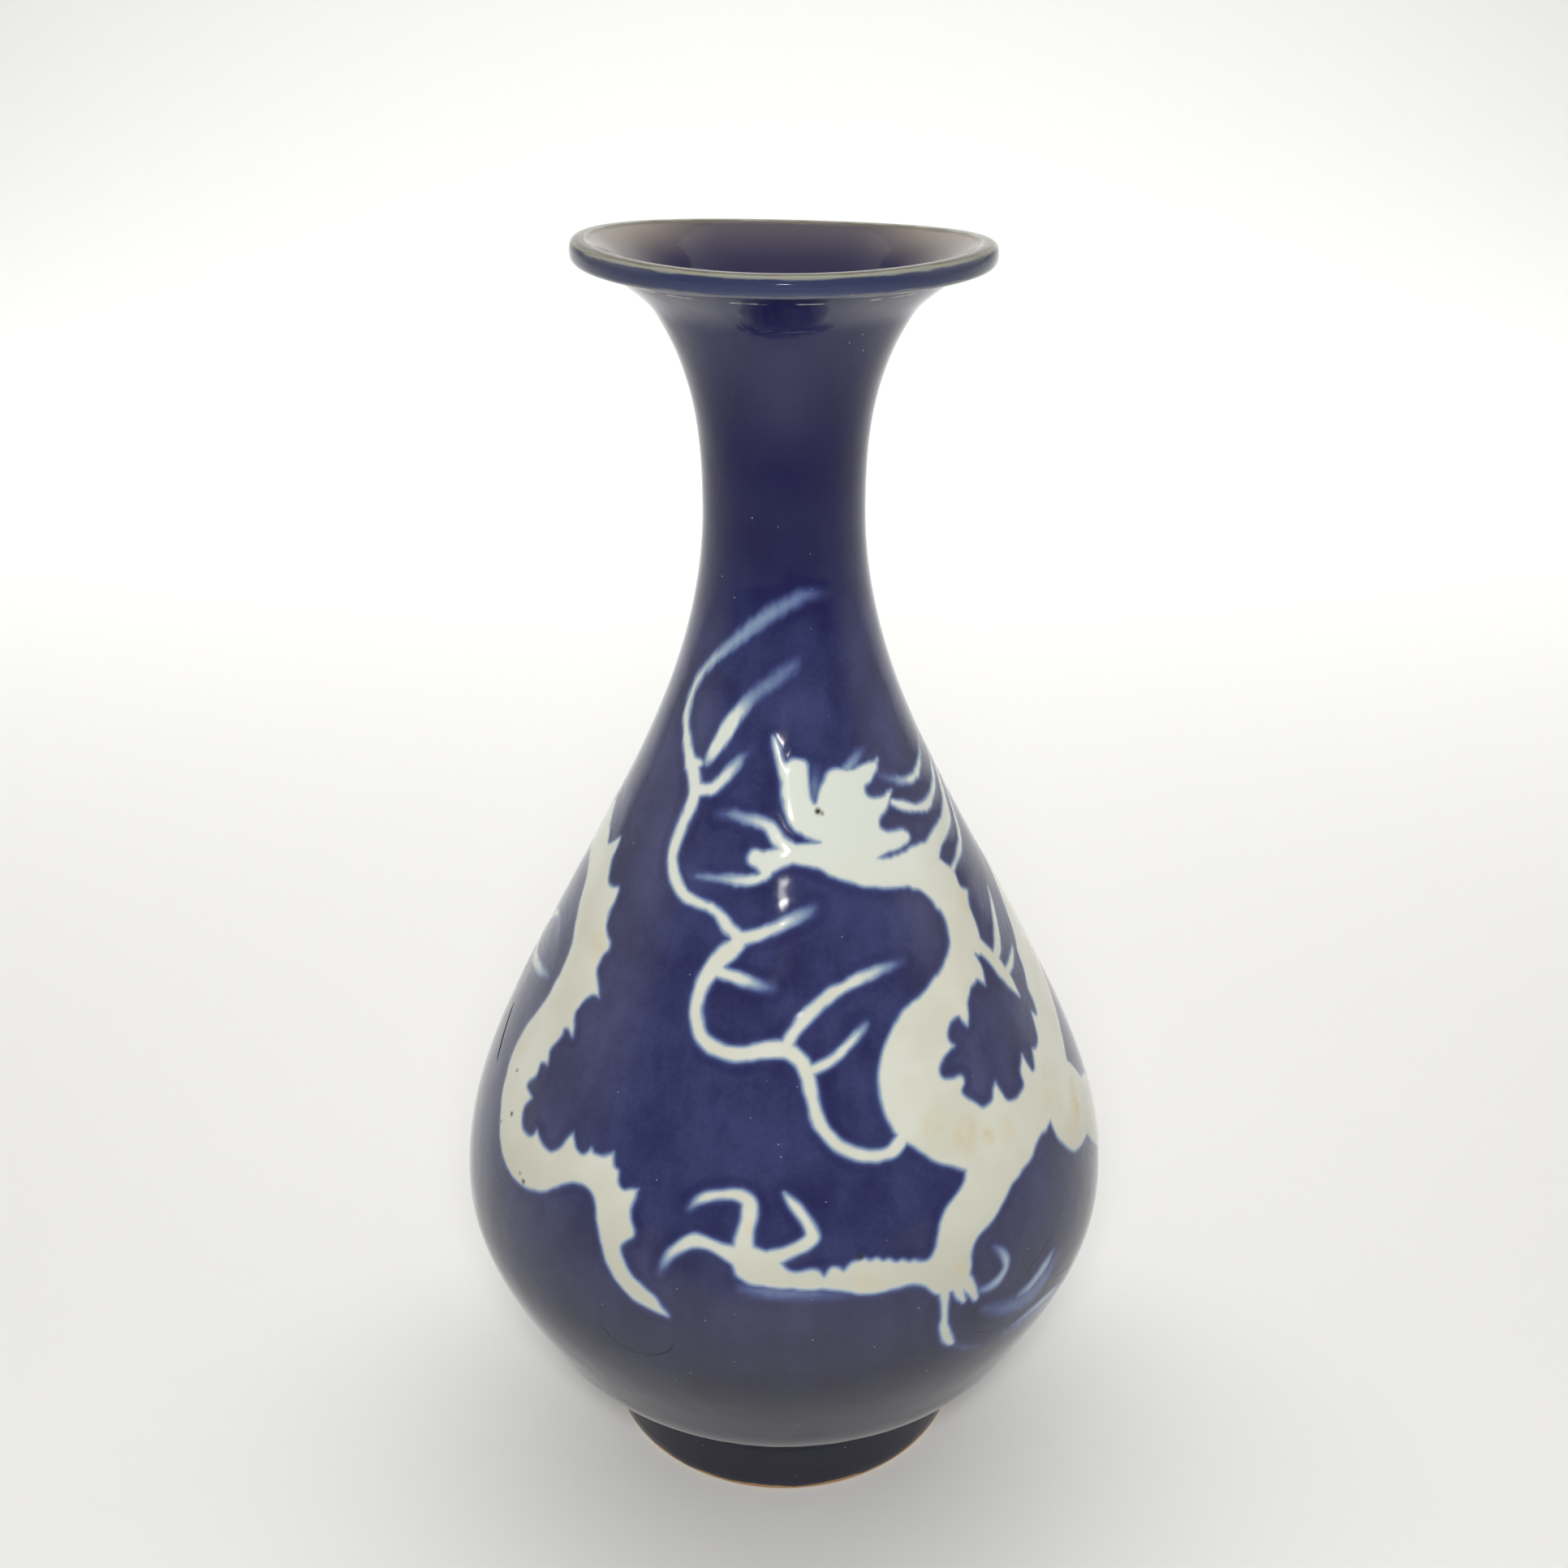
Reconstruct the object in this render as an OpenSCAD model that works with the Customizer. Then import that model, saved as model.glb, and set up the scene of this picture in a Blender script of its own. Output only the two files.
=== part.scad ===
// Pear-shaped porcelain vase with a white slip dragon on its cobalt glazed wall.
// The wall is thrown in sections, luted end to end with slip, and set on a luted foot ring.
// The dragon is laid on the wall in low relief, one shape of white slip after another.
// Millimetres, +Z up, origin at the middle of the resting face, front of the vase towards -Y.

/* [Wall curve] */
// Height from the resting face to the top of the lip
vase_h = 300; // [298:0.5:306]
// Largest radius of the belly
belly_r = 80.9; // [77:0.1:84]
// Height of the widest line of the belly
belly_z = 73.6; // [70:0.2:77]
// Radius low on the belly, as a part of the largest
hip_part = 0.853; // [0.82:0.005:0.875]
// Height at which the low belly radius is taken
hip_z = 40; // [37:0.5:43]
// Radius on the shoulder, as a part of the largest
shoulder_part = 0.717; // [0.68:0.005:0.75]
// Height at which the shoulder radius is taken
shoulder_z = 138; // [134:0.5:142]
// Radius where the shoulder runs into the neck
collar_r = 27.3; // [25:0.1:30]
// Height at which the collar radius is taken
collar_z = 200; // [197:0.5:204]
// Smallest radius of the neck
neck_r = 18; // [16.5:0.1:21]
// Height of the narrowest line of the neck
neck_z = 245; // [238:0.5:252]
// Radius where the mouth begins to flare
flare_r = 27.5; // [26:0.1:29.5]
// Drop of that flare line below the lip
flare_drop = 14; // [12:0.2:16]
// Radius of the flare right under the lip
brim_r = 38.8; // [37.4:0.1:40]

/* [Wall thickness] */
// Wall thickness at the root of the belly
root_wall = 6.5; // [5:0.1:8]
// Wall thickness at the belly
belly_wall = 4.8; // [3.5:0.1:6]
// Wall thickness at the neck
neck_wall = 3.6; // [2.5:0.1:4.5]
// Wall thickness under the lip
brim_wall = 2.8; // [2.2:0.1:3.4]
// Half thickness of the rounded lip
lip_nose = 2.4; // [2:0.1:2.8]
// How square the section of the lip is, 1 for a round one
lip_square = 0.75; // [0.65:0.05:1]
// How far the middle of the lip stands out past the flare, in half thicknesses
lip_reach = 1.35; // [1.15:0.05:1.5]
// How far the middle of the lip stands above the flare, in half thicknesses
lip_lift = 0.9; // [0.7:0.05:1.1]
// Height of the inside floor
floor_z = 21; // [18.5:0.1:24]
// Radius of the hollow corner between floor and wall
floor_round = 8; // [5:0.5:11]

/* [Foot] */
// Height of the lower body's underside, above the foot ring and its slip
root_z = 14; // [12:0.1:15]
// Outer radius of the foot ring at the resting face
foot_r = 46; // [44:0.1:48]
// How much the foot ring narrows towards its top
foot_taper = 0.6; // [0.2:0.1:1.2]
// Width of the foot ring at its top
foot_top_w = 7.4; // [6.4:0.1:9]
// How far the belly stands out over the top of the foot ring
root_step = 1.6; // [1:0.1:3]
// Width of the resting face
foot_land = 5; // [4:0.1:6]
// Bevel of the edges of the resting face
foot_bevel = 0.8; // [0.4:0.1:1.4]
// Depth of the hollow under the base
recess = 9.5; // [8:0.1:11]

/* [Luting] */
// Height of the joint at the belly
belly_joint = 80; // [76:0.5:84]
// Height of the joint at the root of the neck
neck_joint = 186; // [182:0.5:190]
// Thickness of the slip between two sections
slip_t = 0.8; // [0.5:0.1:1.2]
// Radius of the slip squeezed out inside
bead_r = 1.8; // [1.3:0.1:2.4]

/* [Dragon relief] */
// Height of the slip in the middle of a shape
crown = 0.7; // [0.4:0.05:1.2]
// Height of the slip along a thin stroke
thin_crown = 0.55; // [0.35:0.05:0.9]
// Height of the slip at its edges
edge = 0.2; // [0.1:0.05:0.35]
// Bedding film left between slip and wall
bed = 0.04; // [0.02:0.01:0.08]
// Longest step along a shape
step = 4; // [3:0.5:6]
// Longest step across a shape
cross_step = 5; // [3:0.5:7]

/* [Hidden] */
blue = [0.17, 0.18, 0.42];
white = [0.86, 0.88, 0.83];
cream = [0.78, 0.77, 0.68];
turn = 144;
foot_top_r = foot_r - foot_taper;
foot_bore_r = foot_top_r - foot_top_w;
root_r = foot_top_r + root_step;
hip_r = hip_part * belly_r;
shoulder_r = shoulder_part * belly_r;
lip_z = vase_h - lip_nose;
brim_z = lip_z - lip_lift * lip_nose;
// Stations of the outer curve: height, radius, change of radius per mm of height
curve_at = [
    [root_z, root_r, 0.85],
    [hip_z, hip_r, 0.48],
    [belly_z, belly_r, 0],
    [shoulder_z, shoulder_r, -0.508],
    [collar_z, collar_r, -0.393],
    [neck_z, neck_r, 0],
    [vase_h - flare_drop, flare_r, 0.65],
    [brim_z, brim_r, 1.15],
];
last = len(curve_at) - 1;
// Half the height over which the lean of the wall is taken
nudge = 0.05;
// Stations of the wall thickness: height, thickness
wall_at = [[root_z, root_wall], [belly_z, belly_wall], [neck_z, neck_wall], [brim_z, brim_wall]];

// Outer curve of the wall
function span(z) = [for (i = [0:last - 1]) if (z <= curve_at[i + 1][0] || i == last - 1) i][0];
function rise(i) = curve_at[i + 1][0] - curve_at[i][0];
function part_of(i, z) = (z - curve_at[i][0]) / rise(i);
function cubic_r(a, b, h, t) =
    a[1] * (2 * t * t * t - 3 * t * t + 1) + h * a[2] * (t * t * t - 2 * t * t + t)
    + b[1] * (3 * t * t - 2 * t * t * t) + h * b[2] * (t * t * t - t * t);
function outer_r(z) =
    let (i = span(z)) cubic_r(curve_at[i], curve_at[i + 1], rise(i), part_of(i, z));
function lean(z) = (outer_r(z + nudge) - outer_r(z - nudge)) / (2 * nudge);
function slant(z) = sqrt(1 + lean(z) * lean(z));

// Inner curve of the wall, rounded into the floor
function corner(h) = h < floor_round ? floor_round - sqrt(2 * floor_round * h - h * h) : 0;
function inner_r(z) = outer_r(z) - lookup(z, wall_at) * slant(z) - corner(z - floor_z);

function squared(part) = sign(part) * pow(abs(part), lip_square);

module wall_section_outline() {
    steps = 96;
    outer = [for (i = [0:steps]) let (z = root_z + (brim_z - root_z) * i / steps) [outer_r(z), z]];
    nose = [for (a = [-70:10:110])
        [brim_r + lip_nose * (lip_reach + squared(cos(a))), lip_z + lip_nose * squared(sin(a))]];
    inner = [for (i = [steps:-1:0]) let (z = floor_z + (brim_z - floor_z) * i / steps) [inner_r(z), z]];
    under = [[0, floor_z], [0, recess], [foot_bore_r - slip_t, recess], [foot_bore_r - slip_t, root_z]];
    polygon(concat(outer, nose, inner, under));
}

module wall_between(low, high) {
    rotate_extrude($fn = turn)
        intersection() {
            wall_section_outline();
            translate([0, low])
                square([2 * belly_r, high - low]);
        }
}

module luting_ring(low) {
    rotate_extrude($fn = turn)
        union() {
            intersection() {
                wall_section_outline();
                translate([0, low])
                    square([2 * belly_r, slip_t]);
            }
            difference() {
                translate([inner_r(low + slip_t / 2), low + slip_t / 2])
                    circle(r = bead_r, $fn = 24);
                wall_section_outline();
            }
        }
}

// Foot ring and wall sections
module foot_ring() {
    color(blue)
        rotate_extrude($fn = turn)
            polygon([
                [foot_r - foot_land + foot_bevel, 0],
                [foot_r - foot_bevel, 0],
                [foot_r, foot_bevel],
                [foot_top_r, root_z - slip_t],
                [foot_bore_r, root_z - slip_t],
                [foot_bore_r, recess],
                [foot_r - foot_land, foot_bevel],
            ]);
}

module foot_luting_slip() {
    color(cream)
        rotate_extrude($fn = turn)
            polygon([
                [foot_bore_r - slip_t, recess],
                [foot_bore_r, recess],
                [foot_bore_r, root_z - slip_t],
                [foot_top_r, root_z - slip_t],
                [foot_top_r, root_z],
                [foot_bore_r - slip_t, root_z],
            ]);
}

module lower_body() {
    color(blue)
        wall_between(0, belly_joint);
}

module belly_luting_slip() {
    color(cream)
        luting_ring(belly_joint);
}

module upper_body() {
    color(blue)
        wall_between(belly_joint + slip_t, neck_joint);
}

module neck_luting_slip() {
    color(cream)
        luting_ring(neck_joint);
}

module neck_and_mouth() {
    color(blue)
        wall_between(neck_joint + slip_t, vase_h + lip_nose);
}

// A point of the wall at an angle from the front, a height and a lift along the wall's normal
function on_wall(angle, z, lift) =
    let (r = outer_r(z) + lift / slant(z))
        [r * sin(angle), -r * cos(angle), z - lift * lean(z) / slant(z)];
// Distance along the wall between two points given as angle and height
function reach(a, b) =
    let (z = (a[1] + b[1]) / 2)
        norm([(b[0] - a[0]) * outer_r(z) * PI / 180, (b[1] - a[1]) * slant(z)]);
function right_of(row) = [row[0], row[1]];
function left_of(row) = [row[2], row[3]];

// Rows of a shape, each its right and left edge as angle and height, with more put in between them
function fill(rows) = concat(
    [for (i = [0:len(rows) - 2])
        let (a = rows[i], b = rows[i + 1],
            far = max(reach(right_of(a), right_of(b)), reach(left_of(a), left_of(b))),
            n = max(1, ceil(far / step)))
        for (k = [0:n - 1]) a + (b - a) * k / n],
    [rows[len(rows) - 1]]);

// A smooth run through hand-set points
function blend(p, q, s, t, u) =
    0.5 * (2 * q + (s - p) * u + (2 * p - 5 * q + 4 * s - t) * u * u
    + (3 * q - p - 3 * s + t) * u * u * u);
function smooth(points, n) =
    let (e = len(points) - 1) concat(
        [for (i = [0:e - 1]) for (k = [0:n - 1])
            blend(points[max(i - 1, 0)], points[i], points[i + 1], points[min(i + 2, e)], k / n)],
        [points[e]]);

// Rows either side of a stroke given as angle, height, half width and fin height on its left
function fin(k) = k % 4 == 0 ? 1 : (k % 4 == 2 ? 0 : 0.3);
function brush(points, n) =
    let (c = smooth(points, n), e = len(c) - 1)
        [for (i = [0:e])
            let (a = c[max(i - 1, 0)], b = c[min(i + 1, e)], z = c[i][1], r = outer_r(z), m = slant(z),
                u = (b[0] - a[0]) * r * PI / 180, v = (b[1] - a[1]) * m, l = norm([u, v]),
                across = v / l / r * 180 / PI, up = u / l / m,
                w = c[i][2], f = len(c[i]) > 3 ? w + c[i][3] * fin(i) : w)
            [c[i][0] + w * across, z - w * up, c[i][0] - f * across, z + f * up]];

// A low relief of slip between the edges of its rows
module relief(rows, height = crown) {
    run = fill(rows);
    e = len(run) - 1;
    n = max(2, ceil(max([for (s = run) reach(right_of(s), left_of(s))]) / cross_step));
    ring = 2 * n + 2;
    points = [for (s = run) each concat(
        [for (k = [0:n]) let (p = right_of(s) + (left_of(s) - right_of(s)) * k / n, f = 2 * k / n - 1)
            on_wall(p[0], p[1], edge + (height - edge) * (1 - f * f))],
        [for (k = [n:-1:0]) let (p = right_of(s) + (left_of(s) - right_of(s)) * k / n)
            on_wall(p[0], p[1], bed)])];
    skin = [for (i = [0:e - 1]) for (k = [0:ring - 1])
        let (a = i * ring + k, b = i * ring + (k + 1) % ring)
            each [[a, b, b + ring], [a, b + ring, a + ring]]];
    start = [for (k = [0:n - 1])
        each [[ring - 2 - k, k + 1, k], [ring - 1 - k, ring - 2 - k, k]]];
    end = [for (k = [0:n - 1]) let (o = e * ring)
        each [[o + k, o + k + 1, o + ring - 2 - k], [o + k, o + ring - 2 - k, o + ring - 1 - k]]];
    polyhedron(points, concat(skin, start, end), convexity = 10);
}

module stroke(points, n = 3, height = thin_crown) {
    relief(brush(points, n), height);
}

// Head, from the tip of the nose horn to the cheek
module dragon_head() {
    color(white)
        relief([
            [-5.2, 199.2, -4.2, 200], [-4, 196.8, -1.5, 199], [-2.2, 193.5, 0.5, 196],
            [-1.5, 190, 4, 195.6], [0, 185.6, 9, 195], [4, 181.6, 10.3, 191.5],
            [9, 179.8, 10.6, 189.6], [12.4, 179, 14, 190], [15, 178.2, 18, 192.4],
            [19, 177, 22, 193], [24, 175.8, 29, 192.4], [29, 174.9, 32.5, 189],
            [31.5, 174.5, 34, 182.5],
        ]);
}

module dragon_jaw() {
    color(white)
        relief([
            [-11.6, 175.4, -11, 176.8], [-9, 174, -7, 177.1], [-6, 173, -4, 177.5],
            [-2, 174.2, 0, 178.6], [3, 175, 4, 178.4], [8, 174.6, 9, 178.4],
            [13, 173.2, 13.5, 177.8], [19, 171, 19, 176.4], [25, 169.2, 24.5, 175.2],
            [31, 168, 31, 173.8], [36, 167.4, 38, 173.3], [41, 166.2, 46, 173],
            [46, 163, 55.8, 167.6],
        ]);
}

module dragon_brow_tufts() {
    color(white) {
        stroke([[33, 190.4, 1.6], [36, 190.8, 1.4], [39.5, 191.5, 1], [42.4, 192.6, 0.3]]);
        stroke([[35.6, 184.6, 1.5], [39.5, 184.3, 1.2], [42.5, 184.9, 0.8], [45.4, 185.7, 0.3]]);
        stroke([[33.4, 177.4, 2.4], [38, 176, 1.9], [43, 175.6, 1.4], [46.6, 175.2, 0.4]]);
    }
}

module dragon_whiskers() {
    color(white) {
        stroke([[-1, 179.9, 1], [-5, 181, 1.1], [-9.5, 182.1, 1], [-15, 182.7, 0.8],
            [-22, 183.5, 0.3]]);
        stroke([[-7.5, 171.9, 0.8], [-12, 171.5, 0.8], [-18, 171.1, 0.8], [-25, 170.7, 0.6],
            [-29.5, 170.5, 0.3]]);
    }
}

module dragon_mane() {
    color(white) {
        stroke([[44, 188.6, 0.8], [49, 187.3, 1], [54, 186.3, 1], [59.5, 185.7, 1.1], [64, 186, 1],
            [68, 186.9, 0.8], [74, 188.5, 0.6], [81, 190.8, 0.3]]);
        stroke([[46, 182.8, 0.9], [50, 181.4, 1], [55, 180, 1.1], [60, 179.2, 1.3],
            [64, 179.2, 1.2], [68, 179.9, 1], [75, 181.1, 0.9], [81, 183.2, 0.8],
            [89, 186.4, 0.3]]);
        relief([[56.2, 167.9, 46.6, 173.2], [58, 169, 51, 173], [62, 170.4, 56.5, 173.9],
            [67, 171, 62.5, 174.6], [73, 171.8, 70, 175.6], [78, 174.2, 76, 177.2],
            [83, 177.6, 82, 179.8], [89, 181, 88.4, 182.6], [95, 184.2, 95, 184.9]]);
        stroke([[62.2, 165.2, 0.6], [66, 165.8, 0.8], [71, 166.8, 0.9], [76, 168.6, 0.9],
            [80, 171.4, 0.8], [86, 175.4, 0.6], [93, 179.2, 0.3]]);
    }
}

// Body, from the throat round the wall to the tip of the tail
module dragon_neck() {
    color(white)
        relief([
            [46, 163, 55.8, 167.6], [48.3, 159.8, 60.4, 164.6], [49, 157, 60, 161],
            [48.5, 155, 63.4, 158.8], [47.2, 152.8, 61, 156], [45.2, 150.9, 60.4, 152.6],
            [42, 149, 58, 149.2], [38.5, 147.4, 55, 147.7], [34.5, 145.8, 53.5, 142.6],
        ]);
}

module dragon_chest() {
    color(white)
        relief([
            [34.5, 145.8, 53.5, 142.6], [29.5, 144.2, 48.5, 142.4], [25.5, 141.8, 44.5, 139.4],
            [22.5, 139, 41.5, 138.8], [20.5, 135.5, 37.6, 136.2], [19.7, 132, 38.2, 133.6],
            [19.4, 129, 33.2, 129.4], [19.7, 125.8, 38, 127.4], [20.6, 122.6, 37.6, 124.8],
            [22.6, 119.4, 39.6, 121.6], [25, 117, 42.4, 119.6], [27.6, 113.8, 44.6, 120],
            [31, 111.4, 46.6, 122.6], [34, 109.4, 48.6, 119], [38, 107.4, 53.4, 117.6],
            [42, 106, 55.2, 120.4], [46, 105.2, 57, 123.8], [50, 106, 58.8, 119.6],
            [54, 106.8, 61.4, 121], [58.4, 107.2, 64, 122.2],
        ]);
}

module dragon_trunk() {
    color(white)
        relief(concat(
            [[58.4, 107.2, 64, 122.2], [63, 108.8, 66.6, 124.6], [66, 109.6, 67, 127.8],
                [69, 110.4, 69.6, 127.2], [72, 111.2, 71.4, 131], [75, 112.3, 73.4, 132],
                [79, 116.6, 77.2, 138.6]],
            brush([[84, 133, 7.5, 1.8], [92, 140.5, 7.4, 2.4], [101, 146.6, 7.4, 2.4],
                [111, 150, 7.4, 2.4], [121, 149.6, 7.4, 2.4], [130, 145.6, 7.4, 2.4],
                [139, 139, 7.4, 2.4], [148, 131.6, 7.4, 2.4], [157, 125, 7.4, 2.4],
                [167, 120.2, 7.4, 2.4], [177, 118.6, 7.4, 2.4], [187, 120, 7.4, 2.4],
                [197, 124.4, 7.4, 2.4], [207, 131.4, 7.3, 2.4], [216, 139.4, 7.2, 2.4],
                [225, 147.4, 7.1, 2.4], [234, 154.4, 7, 2.4], [244, 160.4, 6.8, 2.4],
                [255, 164.6, 6.6, 2.4], [266, 166.6, 6.4, 2]], 4),
            [[275, 160.5, 275, 172]]));
}

module dragon_tail() {
    color(white)
        relief([
            [-85, 160.5, -85, 172], [-80, 159.3, -76, 169.4], [-76, 156.8, -67, 170.2],
            [-73, 154.2, -65, 167.6], [-70.5, 151.8, -64, 164.6], [-68.5, 149.8, -60.6, 161.4],
            [-67, 147.4, -55.6, 161.2], [-66, 144.8, -55.4, 156.6], [-65.4, 142.4, -50.2, 151.6],
            [-65.1, 140, -52.2, 147.4], [-65.2, 137.4, -47.8, 141.8], [-65.6, 134.6, -52.4, 138.2],
            [-66.5, 131.6, -51.6, 132.2], [-67.6, 128.6, -56, 130.2], [-69, 125.2, -56.6, 127],
            [-69.8, 122.2, -56, 123.2], [-70.1, 119.4, -59.2, 119.4], [-69.8, 116, -59.6, 116],
            [-69, 112, -57.6, 112.4], [-67, 107.4, -56, 108.2], [-64, 102.6, -51.6, 109.6],
            [-60, 98.2, -48.6, 107.8], [-55, 96.2, -45, 109.2], [-50, 96.8, -43, 114],
            [-45.4, 99, -40, 111.4], [-41, 103, -33, 113], [-37.4, 105, -30, 107.6],
            [-34.4, 102.8, -27, 109], [-32.8, 98.4, -26.2, 102.4], [-31.4, 94, -27.4, 97],
            [-29.4, 90, -26.6, 93], [-25, 85.4, -22.6, 88.4], [-19.6, 83, -19, 84],
        ]);
}

// Legs, each from its joint on the body to the paw
module near_foreleg() {
    color(white)
        relief([
            [34, 109, 45.6, 105], [31.4, 106.4, 43.4, 102.2], [29.4, 104.8, 40, 100],
            [27.7, 101.8, 36.6, 97], [26.7, 99, 33.4, 95.2], [26, 97, 32, 92],
            [25.4, 95.4, 31.2, 88.4], [24.8, 94.6, 28.4, 86.8], [24, 94.3, 24.8, 88.8],
            [18, 95.4, 18, 89.8], [12, 96.6, 12, 90.8], [6, 95.8, 6, 91.8], [1, 97, 0, 92.6],
            [-2, 98.6, -5, 93.2], [-4, 100, -7.4, 94.8], [-6.4, 100.4, -8.6, 97.8],
        ]);
}

module near_fore_claws() {
    color(white) {
        stroke([[-9, 99.6, 1.2], [-11.4, 100.6, 1.3], [-14.2, 100.5, 1.2], [-17, 98.6, 1],
            [-19, 96, 0.7], [-20.2, 94, 0.3]]);
        stroke([[-5.6, 101.6, 1.1], [-5.5, 104.4, 1.3], [-5.6, 107.6, 1.3], [-7, 110, 1.2],
            [-10, 110.7, 1], [-13, 110, 0.8], [-15.8, 108.6, 0.3]]);
        stroke([[-1.8, 100.6, 0.9], [1.2, 100.9, 1.1], [4, 102, 1.2], [4.9, 104.4, 1.1],
            [3.8, 107, 1], [2.2, 109.4, 0.8], [0, 111.4, 0.3]]);
        stroke([[26, 86.6, 1], [25.9, 83.4, 1.1], [26, 79.4, 1.1], [26.7, 75.6, 0.8],
            [27.7, 72, 0.3]]);
        stroke([[28.8, 85.6, 0.8], [29.2, 83.2, 0.8], [29.8, 80.8, 0.3]]);
    }
}

module far_foreleg() {
    color(white)
        relief([
            [58.8, 106.6, 74.8, 111.4], [59, 103.2, 78, 107.4], [60.6, 100, 80.6, 103.6],
            [64, 96, 84, 100.4], [69, 94.6, 87.4, 98], [73, 91.6, 90, 95.2],
            [76.4, 86.6, 92.6, 92], [80.6, 83, 94.6, 89], [86, 80.6, 96.6, 87.2],
            [93, 79.4, 99.4, 86.6], [100, 79.6, 103.6, 86.4], [107, 81.2, 107.8, 86.8],
            [111, 83, 110.6, 86.6],
        ]);
}

module far_fore_claws() {
    color(white) {
        stroke([[111.6, 84.8, 1.3], [115, 86.4, 1.3], [119, 86, 1.2], [122, 83, 0.9],
            [123.6, 79.4, 0.3]]);
        stroke([[109.4, 88, 1.1], [111, 91.4, 1.2], [110.6, 95, 1.1], [108, 97.6, 0.8],
            [104.8, 98.6, 0.3]]);
        stroke([[110.6, 81, 1.1], [112.6, 77.8, 1.2], [116, 75.4, 1.1], [119.6, 75, 0.8],
            [122.6, 76.4, 0.3]]);
    }
}

module near_hind_leg() {
    color(white)
        stroke([[134.6, 131.4, 5], [133, 125, 5.6], [132.6, 118, 5.2], [135, 111, 4.4],
            [140, 105.4, 3.6], [146, 102, 3], [152, 100.4, 2.6], [157, 100, 2.4]], 3, crown);
}

module near_hind_claws() {
    color(white) {
        stroke([[158.6, 100, 1.3], [162.4, 101.4, 1.3], [166.4, 100.4, 1.1], [169, 97.2, 0.8],
            [170.2, 93.6, 0.3]]);
        stroke([[156.4, 103.2, 1.1], [158, 106.4, 1.2], [157.4, 109.8, 1.1], [154.6, 112, 0.8],
            [151.4, 112.6, 0.3]]);
        stroke([[156.4, 96.8, 1.1], [158.2, 93.4, 1.2], [161.6, 91, 1.1], [165.4, 90.8, 0.8],
            [168.2, 92, 0.3]]);
    }
}

module far_hind_leg() {
    color(white)
        stroke([[230.6, 142.4, 5], [236, 136.4, 5.2], [241.6, 131.2, 4.6], [247.6, 128.2, 3.8],
            [254, 128.4, 3.2], [260, 130.4, 2.8], [265, 132.6, 2.5]], 3, crown);
}

module far_hind_claws() {
    color(white) {
        stroke([[267.2, 132.6, 1.3], [272, 132.2, 1.3], [277.4, 132.8, 1.2], [283.6, 134.2, 0.9],
            [289.4, 135.8, 0.3]]);
        stroke([[265, 136, 1.1], [268.4, 140, 1.2], [273.4, 143.6, 1.1], [279, 144.8, 1],
            [283.4, 143.8, 0.7], [287.4, 142.4, 0.3]]);
        stroke([[265.8, 129, 1.1], [266, 126, 1.2], [264, 121.6, 1], [260, 119.4, 0.7],
            [256.6, 119.8, 0.3]]);
    }
}

// Fire ribbon winding in front of the dragon, and its flames
module fire_ribbon() {
    color(white)
        stroke([[30, 230, 0.4], [15, 229.6, 0.9], [0, 227.4, 1.1], [-15, 223.8, 1.2],
            [-25, 220.6, 1.2], [-35, 217, 1.3], [-45, 213, 1.4], [-51.5, 208.8, 1.5],
            [-54, 204.4, 1.5], [-53, 200, 1.4], [-48.5, 195.8, 1.3], [-43.5, 192.6, 1.4],
            [-39.4, 190, 1.6], [-36.6, 186.4, 1.7], [-36.6, 181, 1.6], [-38.6, 175.4, 1.5],
            [-37.2, 170.4, 1.5], [-32.4, 167.4, 1.4], [-25, 166, 1.3], [-18.6, 164.4, 1.3],
            [-14.4, 161.4, 1.5], [-16, 157.6, 1.9], [-20, 153.6, 2], [-21.7, 149, 2],
            [-20.3, 143, 1.9], [-15.5, 138.8, 1.8], [-10, 138.3, 1.8], [-4, 139.6, 1.8],
            [0.6, 139.6, 1.8], [3.8, 137, 1.7], [5, 134, 1.6], [5.6, 130, 1.5], [7.2, 124.6, 1.4],
            [11, 120, 1.4], [16, 118.2, 1.5], [20.4, 118.9, 1.5]]);
}

module fire_ribbon_sprays() {
    color(white) {
        stroke([[-35, 192.4, 1], [-31.6, 195.8, 1.9], [-27, 200.5, 2.1], [-22.5, 204.5, 1.8],
            [-17, 207.4, 1.3], [-8, 210.8, 1.2], [1, 213.4, 1], [8, 215.2, 0.3]]);
        stroke([[-32.4, 189, 0.9], [-28.6, 189.6, 1.2], [-24.5, 191.6, 1.2], [-20, 194.4, 0.9],
            [-15.5, 196.5, 0.7], [-11, 197.6, 0.3]]);
        stroke([[-10.4, 160.8, 1.1], [-7, 160.8, 1.3], [-2, 162.6, 1.1], [3, 164.6, 0.9],
            [8, 166, 0.3]]);
        stroke([[-15.4, 153.6, 0.9], [-11, 152.9, 1], [-6, 152.2, 0.8], [-1.5, 152.4, 0.3]]);
        stroke([[2.4, 143, 0.9], [5, 145.6, 1.3], [9.6, 148.8, 1.3], [15.5, 151, 1.2],
            [22, 152.4, 1], [26.6, 152.9, 0.8], [30.6, 153, 0.3]]);
        stroke([[7.4, 136, 0.8], [10.4, 137.2, 1], [14, 139.6, 1], [17, 141.7, 0.7],
            [18.8, 143, 0.3]]);
    }
}

module shoulder_flame() {
    color(white) {
        stroke([[59.8, 146.4, 1.4], [61, 144.2, 2], [62.6, 141.2, 2.1], [64.2, 137.4, 1.5],
            [65.6, 133.4, 0.3]]);
        stroke([[65.4, 145, 0.8], [68.4, 147.2, 1], [72.4, 150.4, 0.8], [77, 154.6, 0.3]]);
        stroke([[67, 139.8, 0.7], [69.8, 140.2, 0.8], [73.2, 141.2, 0.3]]);
    }
}

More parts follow.
